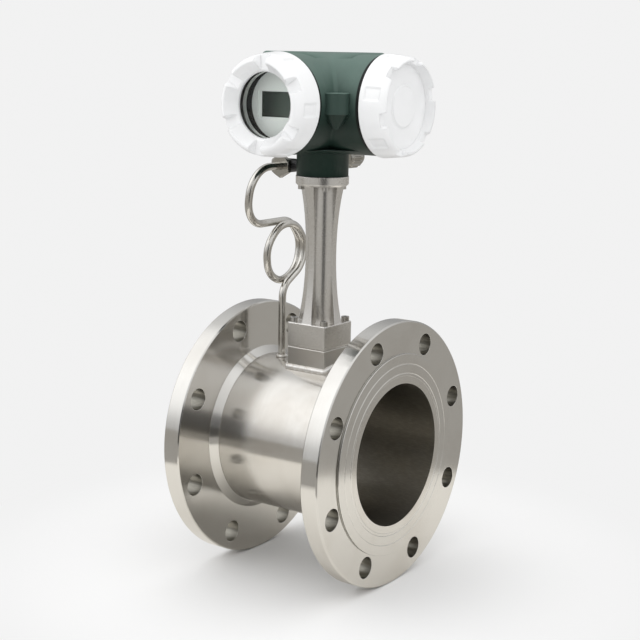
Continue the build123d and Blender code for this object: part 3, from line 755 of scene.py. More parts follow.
def add_mesh(
    name: str, shape: bmesh.types.BMesh, material: bpy.types.Material | None, crisp: float = 180.0
) -> bpy.types.Object:
    """Make a smooth-shaded object of a mesh and link it.

    Args:
        name: Name of the piece.
        shape: Mesh data, which is freed.
        material: Its material, or none for a cutting tool.
        crisp: Angle in degrees from which an edge stays crisp.

    Returns:
        The new object.
    """
    bmesh.ops.recalc_face_normals(shape, faces=shape.faces)
    for face in shape.faces:
        face.smooth = True
    mesh = bpy.data.meshes.new(name)
    shape.to_mesh(mesh)
    shape.free()
    if crisp < 180.0:
        mesh.set_sharp_from_angle(angle=math.radians(crisp))
    if material is not None:
        mesh.materials.append(material)
    piece = bpy.data.objects.new(name, mesh)
    bpy.context.scene.collection.objects.link(piece)
    return piece


def join_rings(shape: bmesh.types.BMesh, rings: list[list[bmesh.types.BMVert]]) -> None:
    """Close the skin between each ring and the next, and between the last and the first.

    Args:
        shape: Mesh data that holds the rings.
        rings: Rings of as many points each. A ring may be one point repeated.
    """
    for here, beyond in zip(rings, rings[1:] + rings[:1]):
        for index in range(len(here)):
            following = (index + 1) % len(here)
            corners = (here[index], here[following], beyond[following], beyond[index])
            kept = list(dict.fromkeys(corners))
            if len(kept) > 2:
                shape.faces.new(kept)


def smooth_step(value: float, start: float, end: float) -> float:
    """Smooth share from 0 at start to 1 at end."""
    share = min(1.0, max(0.0, (value - start) / (end - start)))
    return share * share * (3.0 - 2.0 * share)


def eased_line(points: list[Pair], cuts: int) -> list[Pair]:
    """Smooth line through a few points.

    Args:
        points: Points of the line.
        cuts: Number of steps between neighbours.

    Returns:
        The points and those between them.
    """
    line = []
    for index in range(len(points) - 1):
        four = [points[max(0, index - 1)], points[index], points[index + 1]]
        four.append(points[min(len(points) - 1, index + 2)])
        for cut in range(cuts):
            t = cut / cuts
            weights = (
                (-t + 2 * t * t - t**3) / 2,
                (2 - 5 * t * t + 3 * t**3) / 2,
                (t + 4 * t * t - 3 * t**3) / 2,
                (-t * t + t**3) / 2,
            )
            spot = [sum(w * p[side] for w, p in zip(weights, four)) for side in (0, 1)]
            line.append((spot[0], spot[1]))
    return line + [points[-1]]


def divided(points: list[Pair], step: float) -> list[Pair]:
    """Divide the long runs of a line.

    Args:
        points: Points of the line.
        step: Greatest length of a run.

    Returns:
        The points and those between them.
    """
    line = []
    for (r_a, h_a), (r_b, h_b) in zip(points, points[1:]):
        cuts = max(1, math.ceil(math.hypot(r_b - r_a, h_b - h_a) / step))
        for cut in range(cuts):
            share = cut / cuts
            line.append((r_a + (r_b - r_a) * share, h_a + (h_b - h_a) * share))
    return line + [points[-1]]


@dataclass
class TurnedPiece:
    """Piece turned about an axis, whose section may change round it.

    The section is in millimetres, and the seat that its heights start from is in metres.
    """

    name: str
    spindle: Spindle
    seat: float
    outward: float
    count: int = 600

    def section(self) -> list[Pair]:
        """Radius and height of each point of the closed section, given by each piece."""
        raise NotImplementedError(self.name)

    def shaped(self, radius: float, height: float, angle: float) -> Pair:
        """Radius and height of a point of the section at an angle in degrees."""
        return radius, height

    def spot(self, radius: float, height: float, angle: float) -> Vector:
        """Place in the frame of a point of the turned surface.

        Args:
            radius: Radius in the section.
            height: Height in the section.
            angle: Angle round the axis, in degrees.

        Returns:
            The place in metres.
        """
        turn = math.radians(angle)
        sides = [MM * radius * math.cos(turn), MM * radius * math.sin(turn)]
        sides.insert(self.spindle.along.value, 0.0)
        place = Vector(self.spindle.centre) + Vector(sides)
        place[self.spindle.along.value] = self.seat + MM * self.outward * height
        return place

    def build(self, material: bpy.types.Material, crisp: float = 35.0) -> bpy.types.Object:
        """Turn the piece.

        Args:
            material: Its finish.
            crisp: Angle in degrees from which an edge stays crisp.

        Returns:
            The new piece.
        """
        shape = bmesh.new()
        rings: list[list[bmesh.types.BMVert]] = []
        for radius, height in self.section():
            if radius < TINY:
                hub = shape.verts.new(self.spot(0.0, height, 0.0))
                rings.append([hub] * self.count)
                continue
            ring = []
            for index in range(self.count):
                angle = 360.0 * index / self.count
                ring.append(shape.verts.new(self.spot(*self.shaped(radius, height, angle), angle)))
            rings.append(ring)
        join_rings(shape, rings)
        piece = add_mesh(self.name, shape, material, crisp)
        LOG.info("%s turned, %d faces", self.name, len(piece.data.polygons))
        return piece


@dataclass
class ScrewCover(TurnedPiece):
    """Cast screw cover with a rounded nose, notches in its rim and shallow side recesses.

    The angles of the notches and recesses are in degrees.
    """

    height: float = 33.8
    crest: float = 41.4
    crest_width: float = 2.0
    notches: int = 6
    notch_start: float = 26.2
    notch_floor: float = 24.2
    notch_angle: float = 17.0
    notch_side: float = 1.6
    recess_angle: float = 14.0
    recess_low: float = 5.5
    recess_high: float = 22.0
    recess_ends: Pair = (0.5, 0.7)
    recess_depth: float = 1.3
    recess_side: float = 2.6
    skirt: float = 14.0
    skirt_bore: float = 39.0
    thread: float = 44.45
    corner: float = 0.8
    back_radius: float = 50.9
    side_radius: float = 51.7
    shoulder_radius: float = 49.7
    shoulder: float = 20.5
    shoulder_blend: Pair = (0.35, 3.6)
    side_depth: float = 1.5
    margin: float = 2.0
    nose: tuple[Pair, ...] = ((0.22, 0.48), (0.48, 0.76), (0.75, 0.93))
    nose_cuts: int = 5
    fine_step: float = 0.9
    coarse_step: float = 1.3
    inside: tuple[Pair, ...] = ()

    def section(self) -> list[Pair]:
        """Closed section of the cover.

        Returns:
            Points of the skirt, side, nose, crest and what lies inside the rim.
        """
        outer_crest = self.crest + self.crest_width
        drop = self.shoulder_radius - outer_crest
        rise = self.height - self.shoulder
        nose = [(self.shoulder_radius - a * drop, self.shoulder + b * rise) for a, b in self.nose]
        out, down = self.shoulder_blend
        below = (self.shoulder_radius + out, self.shoulder - down)
        top = (outer_crest, self.height)
        skirt = [
            (self.skirt_bore, -self.skirt),
            (self.thread - self.corner, -self.skirt),
            (self.thread, -self.skirt + self.corner),
            (self.thread, 0.0),
        ]
        side = [(self.back_radius, 0.0), (self.side_radius, self.corner), below]
        round_nose = [below, (self.shoulder_radius, self.shoulder), *nose, top]
        inner = [top, (self.crest, self.height), *self.inside, skirt[0]]
        return (
            skirt
            + divided(side, self.fine_step)[:-1]
            + eased_line(round_nose, self.nose_cuts)[:-1]
            + divided(inner, self.coarse_step)[:-1]
        )

    def within(self, off_middle: float, angle: float, side: float, radius: float) -> float:
        """Share from 1 inside an angle about zero to 0 outside it.

        Args:
            off_middle: Angle from the middle, in degrees.
            angle: Whole angle, in degrees.
            side: Width of the slope at its edge, in millimetres.
            radius: Radius that the slope is measured at.

        Returns:
            The share.
        """
        slope = math.degrees(side / radius)
        return smooth_step(off_middle, (angle + slope) / 2, (angle - slope) / 2)

    def shaped(self, radius: float, height: float, angle: float) -> Pair:
        """Lower the rim at the notches and sink the recesses of the side.

        Args:
            radius: Radius in the section.
            height: Height in the section.
            angle: Angle round the axis, in degrees.

        Returns:
            Radius and height there.
        """
        half_pitch = 180.0 / self.notches
        phase = abs((angle - self.notch_start + half_pitch) % (2 * half_pitch) - half_pitch)
        if height > self.notch_floor:
            share = self.within(phase, self.notch_angle, self.notch_side, self.crest)
            height -= share * (height - self.notch_floor)
        on_side = radius > self.shoulder_radius - self.side_depth
        if on_side and self.recess_low - self.margin < height < self.recess_high + self.margin:
            low, high = self.recess_ends
            share = self.within(
                abs(half_pitch - phase), self.recess_angle, self.recess_side, self.side_radius
            )
            share *= smooth_step(height, self.recess_low - low, self.recess_low + low)
            share *= smooth_step(height, self.recess_high + high, self.recess_high - high)
            radius -= self.recess_depth * share
        return radius, height


@dataclass
class RibbedNut(TurnedPiece):
    """Clamp nut of the cable gland, with straight grip ribs."""

    length: float = 29.0
    bore: float = 7.55
    radius: float = 10.8
    edge: float = 0.6
    nose: Pair = (2.6, 4.0)
    mouth: float = 5.0
    ring_end: float = 17.0
    ribs: int = 15
    rib_height: float = 1.2
    rib_low: float = 5.0
    rib_high: float = 22.0
    rib_end: float = 0.8
    flank: Pair = (0.30, 0.70)
    skin: float = 0.7
    margin: float = 1.0
    step: float = 0.9

    def section(self) -> list[Pair]:
        """Closed section from the mouth of the thread round to the clamp ring's seat."""
        inwards, back = self.nose
        outline = [
            (self.bore, 0.0),
            (self.radius - self.edge, 0.0),
            (self.radius, self.edge),
            (self.radius, self.rib_low),
            (self.radius, self.rib_high),
            (self.radius - self.edge, self.length - back),
            (self.radius - inwards, self.length),
            (self.mouth, self.length),
            (self.mouth, self.ring_end),
            (self.bore, self.ring_end),
        ]
        return divided(outline, self.step)

    def shaped(self, radius: float, height: float, angle: float) -> Pair:
        """Raise the ribs.

        Args:
            radius: Radius in the section.
            height: Height in the section.
            angle: Angle round the axis, in degrees.

        Returns:
            Radius and height there.
        """
        ribbed = self.rib_low - self.margin < height < self.rib_high + self.margin
        if radius < self.radius - self.skin or not ribbed:
            return radius, height
        wave = abs((angle * self.ribs / 360.0) % 1.0 - 0.5) * 2.0
        share = smooth_step(wave, *self.flank)
        share *= smooth_step(height, self.rib_low - self.rib_end, self.rib_low + self.rib_end)
        share *= smooth_step(height, self.rib_high + self.rib_end, self.rib_high - self.rib_end)
        return radius + self.rib_height * share, height


@dataclass
class ValleyPad(TurnedPiece):
    """Upright pad in the valley between the barrels, bare, with a tapered foot."""

    radius: float = 13.0
    low: float = 348.7
    high: float = 369.6
    edge: float = 0.8
    foot: float = 334.0
    foot_radius: float = 3.0
    step: float = 1.5

    def section(self) -> list[Pair]:
        """Closed section from the foot up to the middle of the top."""
        outline = [
            (0.0, self.foot),
            (self.foot_radius, self.foot),
            (self.radius - self.edge, self.low - self.edge),
            (self.radius, self.low),
            (self.radius, self.high - self.edge),
            (self.radius - self.edge, self.high),
            (0.0, self.high),
        ]
        return divided(outline, self.step)


@dataclass
class HousingShell:
    """Housing with its two barrels running into each other in a mitre, and the pad between them.

    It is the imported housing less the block's corner that stands outside the barrels.
    """

    centre: Triple = (0.098, 0.0, 0.3565)
    barrel: float = 0.05003
    crown: float = 0.05202
    reach: float = 0.0681
    reach_clearance: float = 0.0003
    crease: float = 0.004
    crease_cuts: int = 8
    count: int = 144
    corner_down: float = 0.045
    corner_up: float = 0.07
    crisp: float = 30.0
    pad_centre: Pair = (0.152, -0.054)

    def mitre(self) -> bpy.types.Object:
        """Solid elbow of two barrels that meet at a right angle.

        Returns:
            The elbow, as a tool.
        """
        shape = bmesh.new()
        columns = []
        for index in range(self.count):
            angle = 2.0 * math.pi * index / self.count
            out = self.barrel * math.cos(angle)
            up = math.sin(angle) * (self.crown if math.sin(angle) > 0.0 else self.barrel)
            plan = [(out, -self.reach)]
            for step in range(self.crease_cuts + 1):
                turn = math.radians(90.0 * step / self.crease_cuts)
                across = out + self.crease * (1.0 - math.cos(turn))
                plan.append((across, -out - self.crease * (1.0 - math.sin(turn))))
            plan.append((self.reach, -out))
            centre_x, centre_y, centre_z = self.centre
            columns.append(
                [shape.verts.new((centre_x + x, centre_y + y, centre_z + up)) for x, y in plan]
            )
        for here, beyond in zip(columns, columns[1:] + columns[:1]):
            for step in range(len(here) - 1):
                shape.faces.new((here[step], here[step + 1], beyond[step + 1], beyond[step]))
        shape.faces.new([column[0] for column in columns])
        shape.faces.new([column[-1] for column in columns])
        return add_mesh("mitre_tool", shape, None)

    def corner_block(self) -> bpy.types.Object:
        """Block that holds the corner of the housing in front of the two barrels' crests.

        Returns:
            The block, as a tool.
        """
        shape = bmesh.new()
        x, y, z = self.centre
        bmesh.ops.create_cube(shape, size=1.0)
        reach = self.reach - self.reach_clearance
        for vertex in shape.verts:
            vertex.co.x = x if vertex.co.x < 0 else x + reach
            vertex.co.y = y - reach if vertex.co.y < 0 else y
            vertex.co.z = z - self.corner_down if vertex.co.z < 0 else z + self.corner_up
        return add_mesh("corner_tool", shape, None)

    def cut(self, piece: bpy.types.Object, tool: bpy.types.Object) -> None:
        """Take a tool's solid out of a piece.

        Args:
            piece: Piece that is cut.
            tool: Tool, which is removed afterwards.
        """
        change = piece.modifiers.new("cut", "BOOLEAN")
        change.operation = "DIFFERENCE"
        change.solver = "EXACT"
        change.object = tool
        bpy.context.view_layer.update()
        shaped = piece.evaluated_get(bpy.context.evaluated_depsgraph_get())
        mesh = bpy.data.meshes.new_from_object(shaped)
        piece.modifiers.clear()
        piece.data = mesh
        bpy.data.objects.remove(tool)

    def build(self, material: bpy.types.Material) -> None:
        """Make the shell and the pad.

        Args:
            material: Paint of both.
        """
        corner = self.corner_block()
        self.cut(corner, self.mitre())
        shape = bmesh.new()
        shape.from_mesh(bpy.data.objects["housing"].data)
        bmesh.ops.remove_doubles(shape, verts=shape.verts, dist=1e-6)
        shell = add_mesh("housing_shell", shape, material, self.crisp)
        self.cut(shell, corner)
        shell.data.materials.clear()
        shell.data.materials.append(material)
        for face in shell.data.polygons:
            face.use_smooth = True
        shell.data.set_sharp_from_angle(angle=math.radians(self.crisp))
        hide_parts("housing")
        pad = ValleyPad("valley_pad", Spindle((*self.pad_centre, 0.0), Along.UP), 0.0, 1.0, 96)
        for piece in (shell, pad.build(material, 40.0)):
            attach(piece, "meter")
        LOG.info("housing_shell cut, %d faces", len(shell.data.polygons))


@dataclass
class WeldBead:
    """Hand-laid bead with ripples, along a closed line round the foot of a part."""

    name: str
    node: str
    radius: float
    ripple: float = 0.0022
    ripple_depth: float = 0.16
    ripple_drift: float = 0.6
    wander: float = 0.14
    grit: float = 0.05
    drift_pitch: float = 90.0
    wander_pitch: float = 160.0
    grit_pitch: float = 900.0
    roundness: float = 0.6
    sides: int = 12
    seed: float = 0.0

    def build(
        self, line: list[tuple[Vector, Vector]], material: bpy.types.Material, body: str
    ) -> None:
        """Sweep the bead.

        Args:
            line: Points of the closed line, each with the outward direction there.
            material: Finish of the bead.
            body: Body that it rides on.
        """
        shape = bmesh.new()
        rings: list[list[bmesh.types.BMVert]] = []
        run = 0.0
        count = len(line)
        for index, (point, outward) in enumerate(line):
            ahead = line[(index + 1) % count][0] - line[index - 1][0]
            run += (point - line[index - 1][0]).length if index else 0.0
            upward = outward.cross(ahead).normalized()
            outward = ahead.cross(upward).normalized()
            drift = noise.noise(Vector((run * self.drift_pitch, self.seed, 0.0)))
            phase = run / self.ripple + self.ripple_drift * drift
            wave = abs(math.sin(math.pi * phase)) ** self.roundness
            loose = noise.noise(Vector((run * self.wander_pitch, self.seed + 5.0, 0.0)))
            size = self.radius * (1.0 - self.ripple_depth * (1.0 - wave) + self.wander * loose)
            ring = []
            for side in range(self.sides):
                turn = 2.0 * math.pi * side / self.sides
                place = Vector((run * self.grit_pitch, turn * 1.3, self.seed))
                reach = size * (1.0 + noise.noise(place) * self.grit)
                spot = point + outward * (reach * math.cos(turn)) + upward * (reach * math.sin(turn))
                ring.append(shape.verts.new(spot))
            rings.append(ring)
        join_rings(shape, rings)
        bead = add_mesh(self.name, shape, material)
        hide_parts(self.node)
        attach(bead, body)
        LOG.info("%s laid, %d steps", self.name, count)


@dataclass
class FlowTube:
    """Measuring tube, its two flanges, the boss on its crown and what stands in the bore."""

    tube_radius: float = 0.0826
    boss_x: float = 0.098
    boss_half: float = 0.0238
    boss_corner: float = 0.0022
    corner_cuts: int = 8
    bead_offset: float = 0.0006
    bead_lift: float = 0.0011
    bead_step: float = 0.00045
    tap_x: float = 0.048
    tap_radius: float = 0.0040
    tap_offset: float = 0.0009
    tap_steps: int = 84
    tube_finish: MetalFinish = MetalFinish(
        "turned_tube", (0.66, 0.645, 0.615), 0.18, Grain.TURNED, lines=520.0, depth=0.000004,
        spread=0.10, anisotropy=0.75, stain=(0.40, 0.35, 0.29), stain_share=0.30,
        # Darker colour of the bore: painted shade.
        stain_scale=14.0, drilled_wall_shade=DrilledWallShade(0.0, 0.0752, (0.30, 0.28, 0.24), 0.34),
    )
    flange_finish: MetalFinish = MetalFinish(
        "turned_flange", (0.67, 0.66, 0.635), 0.15, Grain.TURNED, lines=900.0, depth=0.000004,
        spread=0.10, anisotropy=0.75, stain=(0.46, 0.42, 0.37), stain_share=0.22,
        # Darker colour of the bolt holes: painted shade.
        stain_scale=16.0, edge=0.0007, worn_edge_highlight=0.6, drilled_wall_shade=DrilledWallShade(0.105, 0.136, (0.26, 0.25, 0.22), 0.30),
    )
    boss_finish: MetalFinish = MetalFinish(
        "milled_boss", (0.62, 0.60, 0.57), 0.30, Grain.MILLED, lines=900.0, depth=0.000002,
        spread=0.05, stain_share=0.25, edge=0.0009, worn_edge_highlight=1.0,
    )
    bead_finish: MetalFinish = MetalFinish(
        "pale_weld", (0.90, 0.885, 0.86), 0.40, Grain.CAST, lines=1800.0, depth=0.00012,
        spread=0.2, stain=(0.55, 0.47, 0.38), stain_share=0.35, stain_scale=260.0,
    )
    probe_finish: MetalFinish = MetalFinish(
        "ground_probe", (0.62, 0.61, 0.60), 0.24, Grain.TURNED, NECK_AXIS, lines=1500.0
    )

    def on_crown(self, x: float, y: float, angle: float) -> tuple[Vector, Vector]:
        """Point of a bead on the crown of the tube, with the outward direction at its angle."""
        z = math.sqrt(self.tube_radius**2 - y**2) + self.bead_lift
        return Vector((x, y, z)), Vector((math.cos(angle), math.sin(angle), 0.0))

    def square_line(self) -> list[tuple[Vector, Vector]]:
        """Closed line round the foot of the boss, on the crown of the tube.

        Returns:
            Points with the outward direction at each.
        """
        half = self.boss_half + self.bead_offset
        flat = half - self.boss_corner
        run = max(2, round(2 * flat / self.bead_step))
        line = []
        for quarter in range(4):
            turn = math.radians(90.0 * quarter)
            cos_t, sin_t = math.cos(turn), math.sin(turn)
            for index in range(run):
                y = -flat + 2 * flat * index / run
                spot = (half * cos_t - y * sin_t, half * sin_t + y * cos_t)
                line.append(self.on_crown(self.boss_x + spot[0], spot[1], turn))
            centre_x = flat * cos_t - flat * sin_t
            centre_y = flat * sin_t + flat * cos_t
            for index in range(self.corner_cuts):
                angle = turn + math.radians(90.0 * index / self.corner_cuts)
                x = centre_x + self.boss_corner * math.cos(angle)
                y = centre_y + self.boss_corner * math.sin(angle)
                line.append(self.on_crown(self.boss_x + x, y, angle))
        return line

    def round_line(self) -> list[tuple[Vector, Vector]]:
        """Closed ring round the foot of the pressure tube.

        Returns:
            Points with the outward direction at each.
        """
        radius = self.tap_radius + self.tap_offset
        line = []
        for index in range(self.tap_steps):
            angle = 2.0 * math.pi * index / self.tap_steps
            x = self.tap_x + radius * math.cos(angle)
            line.append(self.on_crown(x, radius * math.sin(angle), angle))
        return line

    def make(self) -> None:
        """Dress the tube, flanges, boss and probe, and lay the weld beads."""
        dress(self.tube_finish.make(), "meter_tube", "bluff_body")
        dress(self.flange_finish.make(), "inlet_flange", "outlet_flange")
        dress(self.boss_finish.make(), "sensor_boss")
        dress(self.probe_finish.make(), "vortex_probe")
        bead = self.bead_finish.make()
        boss_bead = WeldBead("boss_bead", "boss_weld", 0.0033, wander=0.30)
        boss_bead.build(self.square_line(), bead, "meter")
        tap_bead = WeldBead("tap_bead", "foot_weld", 0.0014, ripple=0.0019, seed=11.0)
        tap_bead.build(self.round_line(), bead, "meter")


@dataclass
class SensorNeck:
    """Waisted and fluted column between the tube and the head, with its cap screws."""

    cast_finish: MetalFinish = MetalFinish(
        "cast_column", (0.74, 0.725, 0.70), 0.27, Grain.CAST, lines=1800.0, depth=0.000012,
        spread=0.06, stain_share=0.16, edge=0.0010, worn_edge_highlight=0.9,
    )
    screw_finish: MetalFinish = MetalFinish(
        "bright_screw", (0.62, 0.61, 0.59), 0.20, depth=0.000006, edge=0.0002
    )

    def make(self) -> None:
        """Dress the column, and the small bright fasteners of the whole meter."""
        dress(self.cast_finish.make(), "neck_column")
        small = ("base_screws", "neck_screws", "module_screws", "tube_ferrule", "gland_ring")
        dress(self.screw_finish.make(), *small)


@dataclass
class Head:
    """Green housing, its two white screw covers, the window and the seals."""

    barrel_reach: float = 0.0762
    seal_gap: float = 0.0012
    thread_radius: float = 0.0445
    thread_clearance: float = 0.00005
    thread_margin: float = 0.0001
    skirt_length: float = 0.014
    skirt_bore: float = 39.0
    green: Triple = (0.011, 0.025, 0.019)
    green_shade: Triple = (0.016, 0.031, 0.024)
    # Paler green of the painted top light on the housing's upper faces.
    green_top_light: Triple = (0.112, 0.174, 0.150)
    white: Triple = (0.86, 0.865, 0.87)
    white_shade: Triple = (0.83, 0.835, 0.84)
    rubber: MouldedFinish = MouldedFinish(
        "black_rubber", (0.018, 0.018, 0.018), (0.04, 0.04, 0.038), 0.62
    )
    retainer: MetalFinish = MetalFinish(
        "turned_retainer", (0.95, 0.95, 0.94), 0.42, Grain.TURNED, DISPLAY_AXIS, lines=1800.0,
        edge=0.0006, worn_edge_highlight=0.9,
    )

    def housing_finish(self, name: str, seal_and_shade: SealAndShadeLine | None = None) -> PaintFinish:
        """Paint of the housing, with a black line where a barrel ends: a cover's seal, and painted shade
        under the cover.
        """
        return PaintFinish(
            name, self.green, self.green_shade, 0.42, 0.06, coat_roughness=0.26, gloss=0.20,
            edge=0.0, haze=self.green_top_light, seal_and_shade=seal_and_shade,
        )

    def cover_finish(self, name: str, spindle: Spindle, outward: float) -> PaintFinish:
        """Paint of a cover, with the bare thread of its skirt.

        Args:
            name: Name of the material.
            spindle: Axis of the cover.
            outward: Way that the cover looks along that axis, 1 or -1.

        Returns:
            The finish.
        """
        seat = self.barrel_reach + self.seal_gap
        ends = (outward * (seat - self.skirt_length), outward * (seat + self.thread_margin))
        radius = self.thread_radius - self.thread_clearance
        thread = ThreadZone(spindle, radius, min(ends), max(ends))
        return PaintFinish(
            name, self.white, self.white_shade, 0.30, 0.25, peel=0.00001, peel_scale=700.0,
            edge=0.0015, thread=thread,
        )

    def make_covers(self) -> None:
        """Turn both covers, with the window's bezel in one and the plain disc in the other."""
        seat = self.barrel_reach + self.seal_gap
        window = ((32.0, 22.0), (32.0, 19.6), (35.7, 19.6), (35.7, 7.6), (self.skirt_bore, 5.6))
        rim = ((41.7, 19.2), (21.6, 19.2), (20.0, 20.8), (0.0, 20.8))
        disc = (*rim, (0.0, 14.2), (36.0, 14.2), (self.skirt_bore, 11.2))
        display = ScrewCover(
            "display_screw_cover", DISPLAY_AXIS, -seat, -1.0, skirt_bore=self.skirt_bore,
            inside=window,
        )
        terminal = ScrewCover(
            "terminal_screw_cover", TERMINAL_AXIS, TERMINAL_AXIS.centre[0] + seat, 1.0,
            height=29.0, crest=44.5, crest_width=1.1, notch_start=15.0, notch_floor=23.2,
            skirt_bore=self.skirt_bore, inside=disc,
        )
        for cover, side in ((display, "display"), (terminal, "terminal")):
            node = side + "_cover"
            paint = self.cover_finish("white_enamel_" + side, cover.spindle, cover.outward)
            piece = cover.build(paint.make())
            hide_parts(node)
            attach(piece, node + "_set")

    def make(self) -> None:
        """Dress the housing, covers, seals, window and retainer."""
        HousingShell().build(self.housing_finish("green_enamel").make())
        for side, spindle in (("display", DISPLAY_AXIS), ("terminal", TERMINAL_AXIS)):
            line = SealAndShadeLine(spindle, self.barrel_reach)
            dress(self.housing_finish("green_enamel_" + side, line).make(), side + "_barrel_end")
        self.make_covers()
        seals = ("display_cover_seal", "terminal_cover_seal", "window_gasket", "neck_gasket")
        dress(self.rubber.make(), *seals, "probe_seal", "gland_washer", "gland_insert")
        dress(WindowFinish("clear_window").make(), "window_glass")
        dress(self.retainer.make(), "window_retainer")


@dataclass
class ElectronicsPack:
    """Cup, boards, posts and the display behind the window."""

    black: MouldedFinish = MouldedFinish(
        "black_moulding", (0.010, 0.010, 0.010), (0.020, 0.020, 0.020), 0.70, gloss=0.06
    )
    plate: PaintFinish = PaintFinish(
        "pale_plate", (0.88, 0.92, 0.89), (0.90, 0.93, 0.91), 0.42, peel=0.000008, edge=0.0002
    )
    brass: MetalFinish = MetalFinish("turned_brass", (0.78, 0.60, 0.32), 0.25, edge=0.0002)

    def make(self) -> None:
        """Dress the pack."""
        dress(self.black.make(), "module_cup", "display_frame", "terminal_base", "feedthrough")
        dress(self.plate.make(), "display_panel")
        dress(ScreenFinish("blank_display").make(), "display_module")
        dress(BoardFinish("lacquered_board").make(), "main_board", "display_board")
        dress(self.brass.make(), "board_posts")


@dataclass
class TerminalSide:
    """Terminal block and its screws behind the second cover."""

    block: MouldedFinish = MouldedFinish(
        "grey_moulding", (0.075, 0.085, 0.078), (0.11, 0.12, 0.11), 0.45
    )
    plated: MetalFinish = MetalFinish("plated_brass", (0.72, 0.66, 0.50), 0.24, edge=0.0002)

    def make(self) -> None:
        """Dress the terminals."""
        dress(self.block.make(), "terminal_block")
        dress(self.plated.make(), "terminal_screws")


@dataclass
class PressureLine:
    """Siphon tube with its loop, the nut, the black elbow and the sensor cell."""

    tube_finish: MetalFinish = MetalFinish(
        "drawn_tube", (0.66, 0.645, 0.61), 0.19, spread=0.16, stain=(0.30, 0.26, 0.22),
        stain_share=0.35, stain_scale=70.0,
    )
    nut_finish: MetalFinish = MetalFinish(
        "machined_nut", (0.46, 0.45, 0.42), 0.14, edge=0.0004, worn_edge_highlight=0.8
    )
    elbow_finish: PaintFinish = PaintFinish(
        "matt_black", (0.016, 0.016, 0.017), (0.028, 0.028, 0.028), 0.50
    )

    def make(self) -> None:
        """Dress the take-off."""
        dress(self.tube_finish.make(), "pressure_tube")
        dress(self.nut_finish.make(), "tube_nut", "pressure_cell")
        dress(self.elbow_finish.make(), "pressure_elbow")


@dataclass
class CableGland:
    """Ribbed gland on the far side of the spigot."""

    nickel: MetalFinish = MetalFinish(
        "nickel_plate", (0.40, 0.39, 0.36), 0.07, Grain.TURNED, GLAND_AXIS, lines=1600.0,
        depth=0.000006, edge=0.0003,
    )

    def make(self) -> None:
        """Dress the gland and turn its nut."""
        nickel = self.nickel.make()
        dress(nickel, "gland_body")
        low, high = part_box("gland_nut")
        axis = Spindle(((low.x + high.x) / 2, 0.0, (low.z + high.z) / 2), Along.ACROSS)
        nut = RibbedNut("gland_clamp_nut", axis, low.y, 1.0, 360).build(nickel)
        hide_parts("gland_nut")
        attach(nut, "gland_nut_set")


@dataclass(frozen=True)
class TableFinish(Finish):
    """Pale paper that takes the shadow, fades into the backdrop and mirrors as a dim room."""

    centre: Pair
    backdrop: float
    card_level: float
    table: float = 0.785
    bounce: float = 0.68
    mirrored_table: float = 0.82
    mirrored_shade: float = 0.55
    shade_range: Pair = (0.05, 0.13)
    fade: Pair = (0.16, 0.42)
    table_radius: float = 0.43
    table_edge: float = 0.03
    far_table: float = 0.45
    card_radius: float = 0.80
    card_edge: float = 0.1
    card_towards: Pair = (0.69, -0.72)
    card_range: Pair = (0.945, 0.975)
    warm: Triple = (1.0, 0.965, 0.90)
    fibre_scale: float = 30.0
    fibre_shade: float = 0.995

    def shader(self, graph: Graph) -> Socket:
        """Paper near the object, and a glow further out.

        Args:
            graph: Node tree to add to.

        Returns:
            The shader.
        """
        x, y, _ = graph.parts(graph.here)
        across, deep = graph.minus(x, self.centre[0]), graph.minus(y, self.centre[1])
        radius = graph.length(across, deep)
        mirrored = graph.mirrored()
        seen = graph.either_ray("Is Camera Ray", "Is Transmission Ray")
        fibre = graph.cloud(graph.here, self.fibre_scale, detail=2.0)
        pale = graph.tint(fibre, (self.table,) * 3, (self.table * self.fibre_shade,) * 3)
        shade = graph.ramp(radius, *self.shade_range, self.mirrored_shade, self.mirrored_table)
        lit = graph.add("ShaderNodeVectorMath", {0: self.warm, "Scale": shade}, operation="SCALE")
        tone = graph.tint(seen, graph.tint(mirrored, (self.bounce,) * 3, lit.outputs[0]), pale)
        paper = graph.add("ShaderNodeBsdfDiffuse", {0: tone}).outputs[0]
        along = graph.plus(
            graph.times(graph.maths("DIVIDE", across, radius), self.card_towards[0]),
            graph.times(graph.maths("DIVIDE", deep, radius), self.card_towards[1]),
        )
        past_card = graph.ramp(radius, self.card_radius, self.card_radius + self.card_edge)
        card = graph.times(graph.ramp(along, *self.card_range), past_card)
        room = graph.blend(card, self.far_table, self.card_level)
        level = graph.plus(graph.times(seen, self.backdrop), graph.times(mirrored, room))
        glow = graph.tint(mirrored, (1.0, 1.0, 1.0), self.warm)
        far = graph.add("ShaderNodeEmission", {0: glow, "Strength": level}).outputs[0]
        past_table = graph.ramp(radius, self.table_radius, self.table_radius + self.table_edge)
        wide = graph.times(seen, graph.ramp(radius, *self.fade))
        near = graph.times(mirrored, past_table)
        return graph.either_shader(graph.maths("MAXIMUM", wide, near), paper, far)


@dataclass(frozen=True)
class Patch:
    """Soft bright or dark area of the studio, between two angles from its middle."""

    towards: Triple
    inner: float
    outer: float
    strength: float
    mirrored_only: bool = False


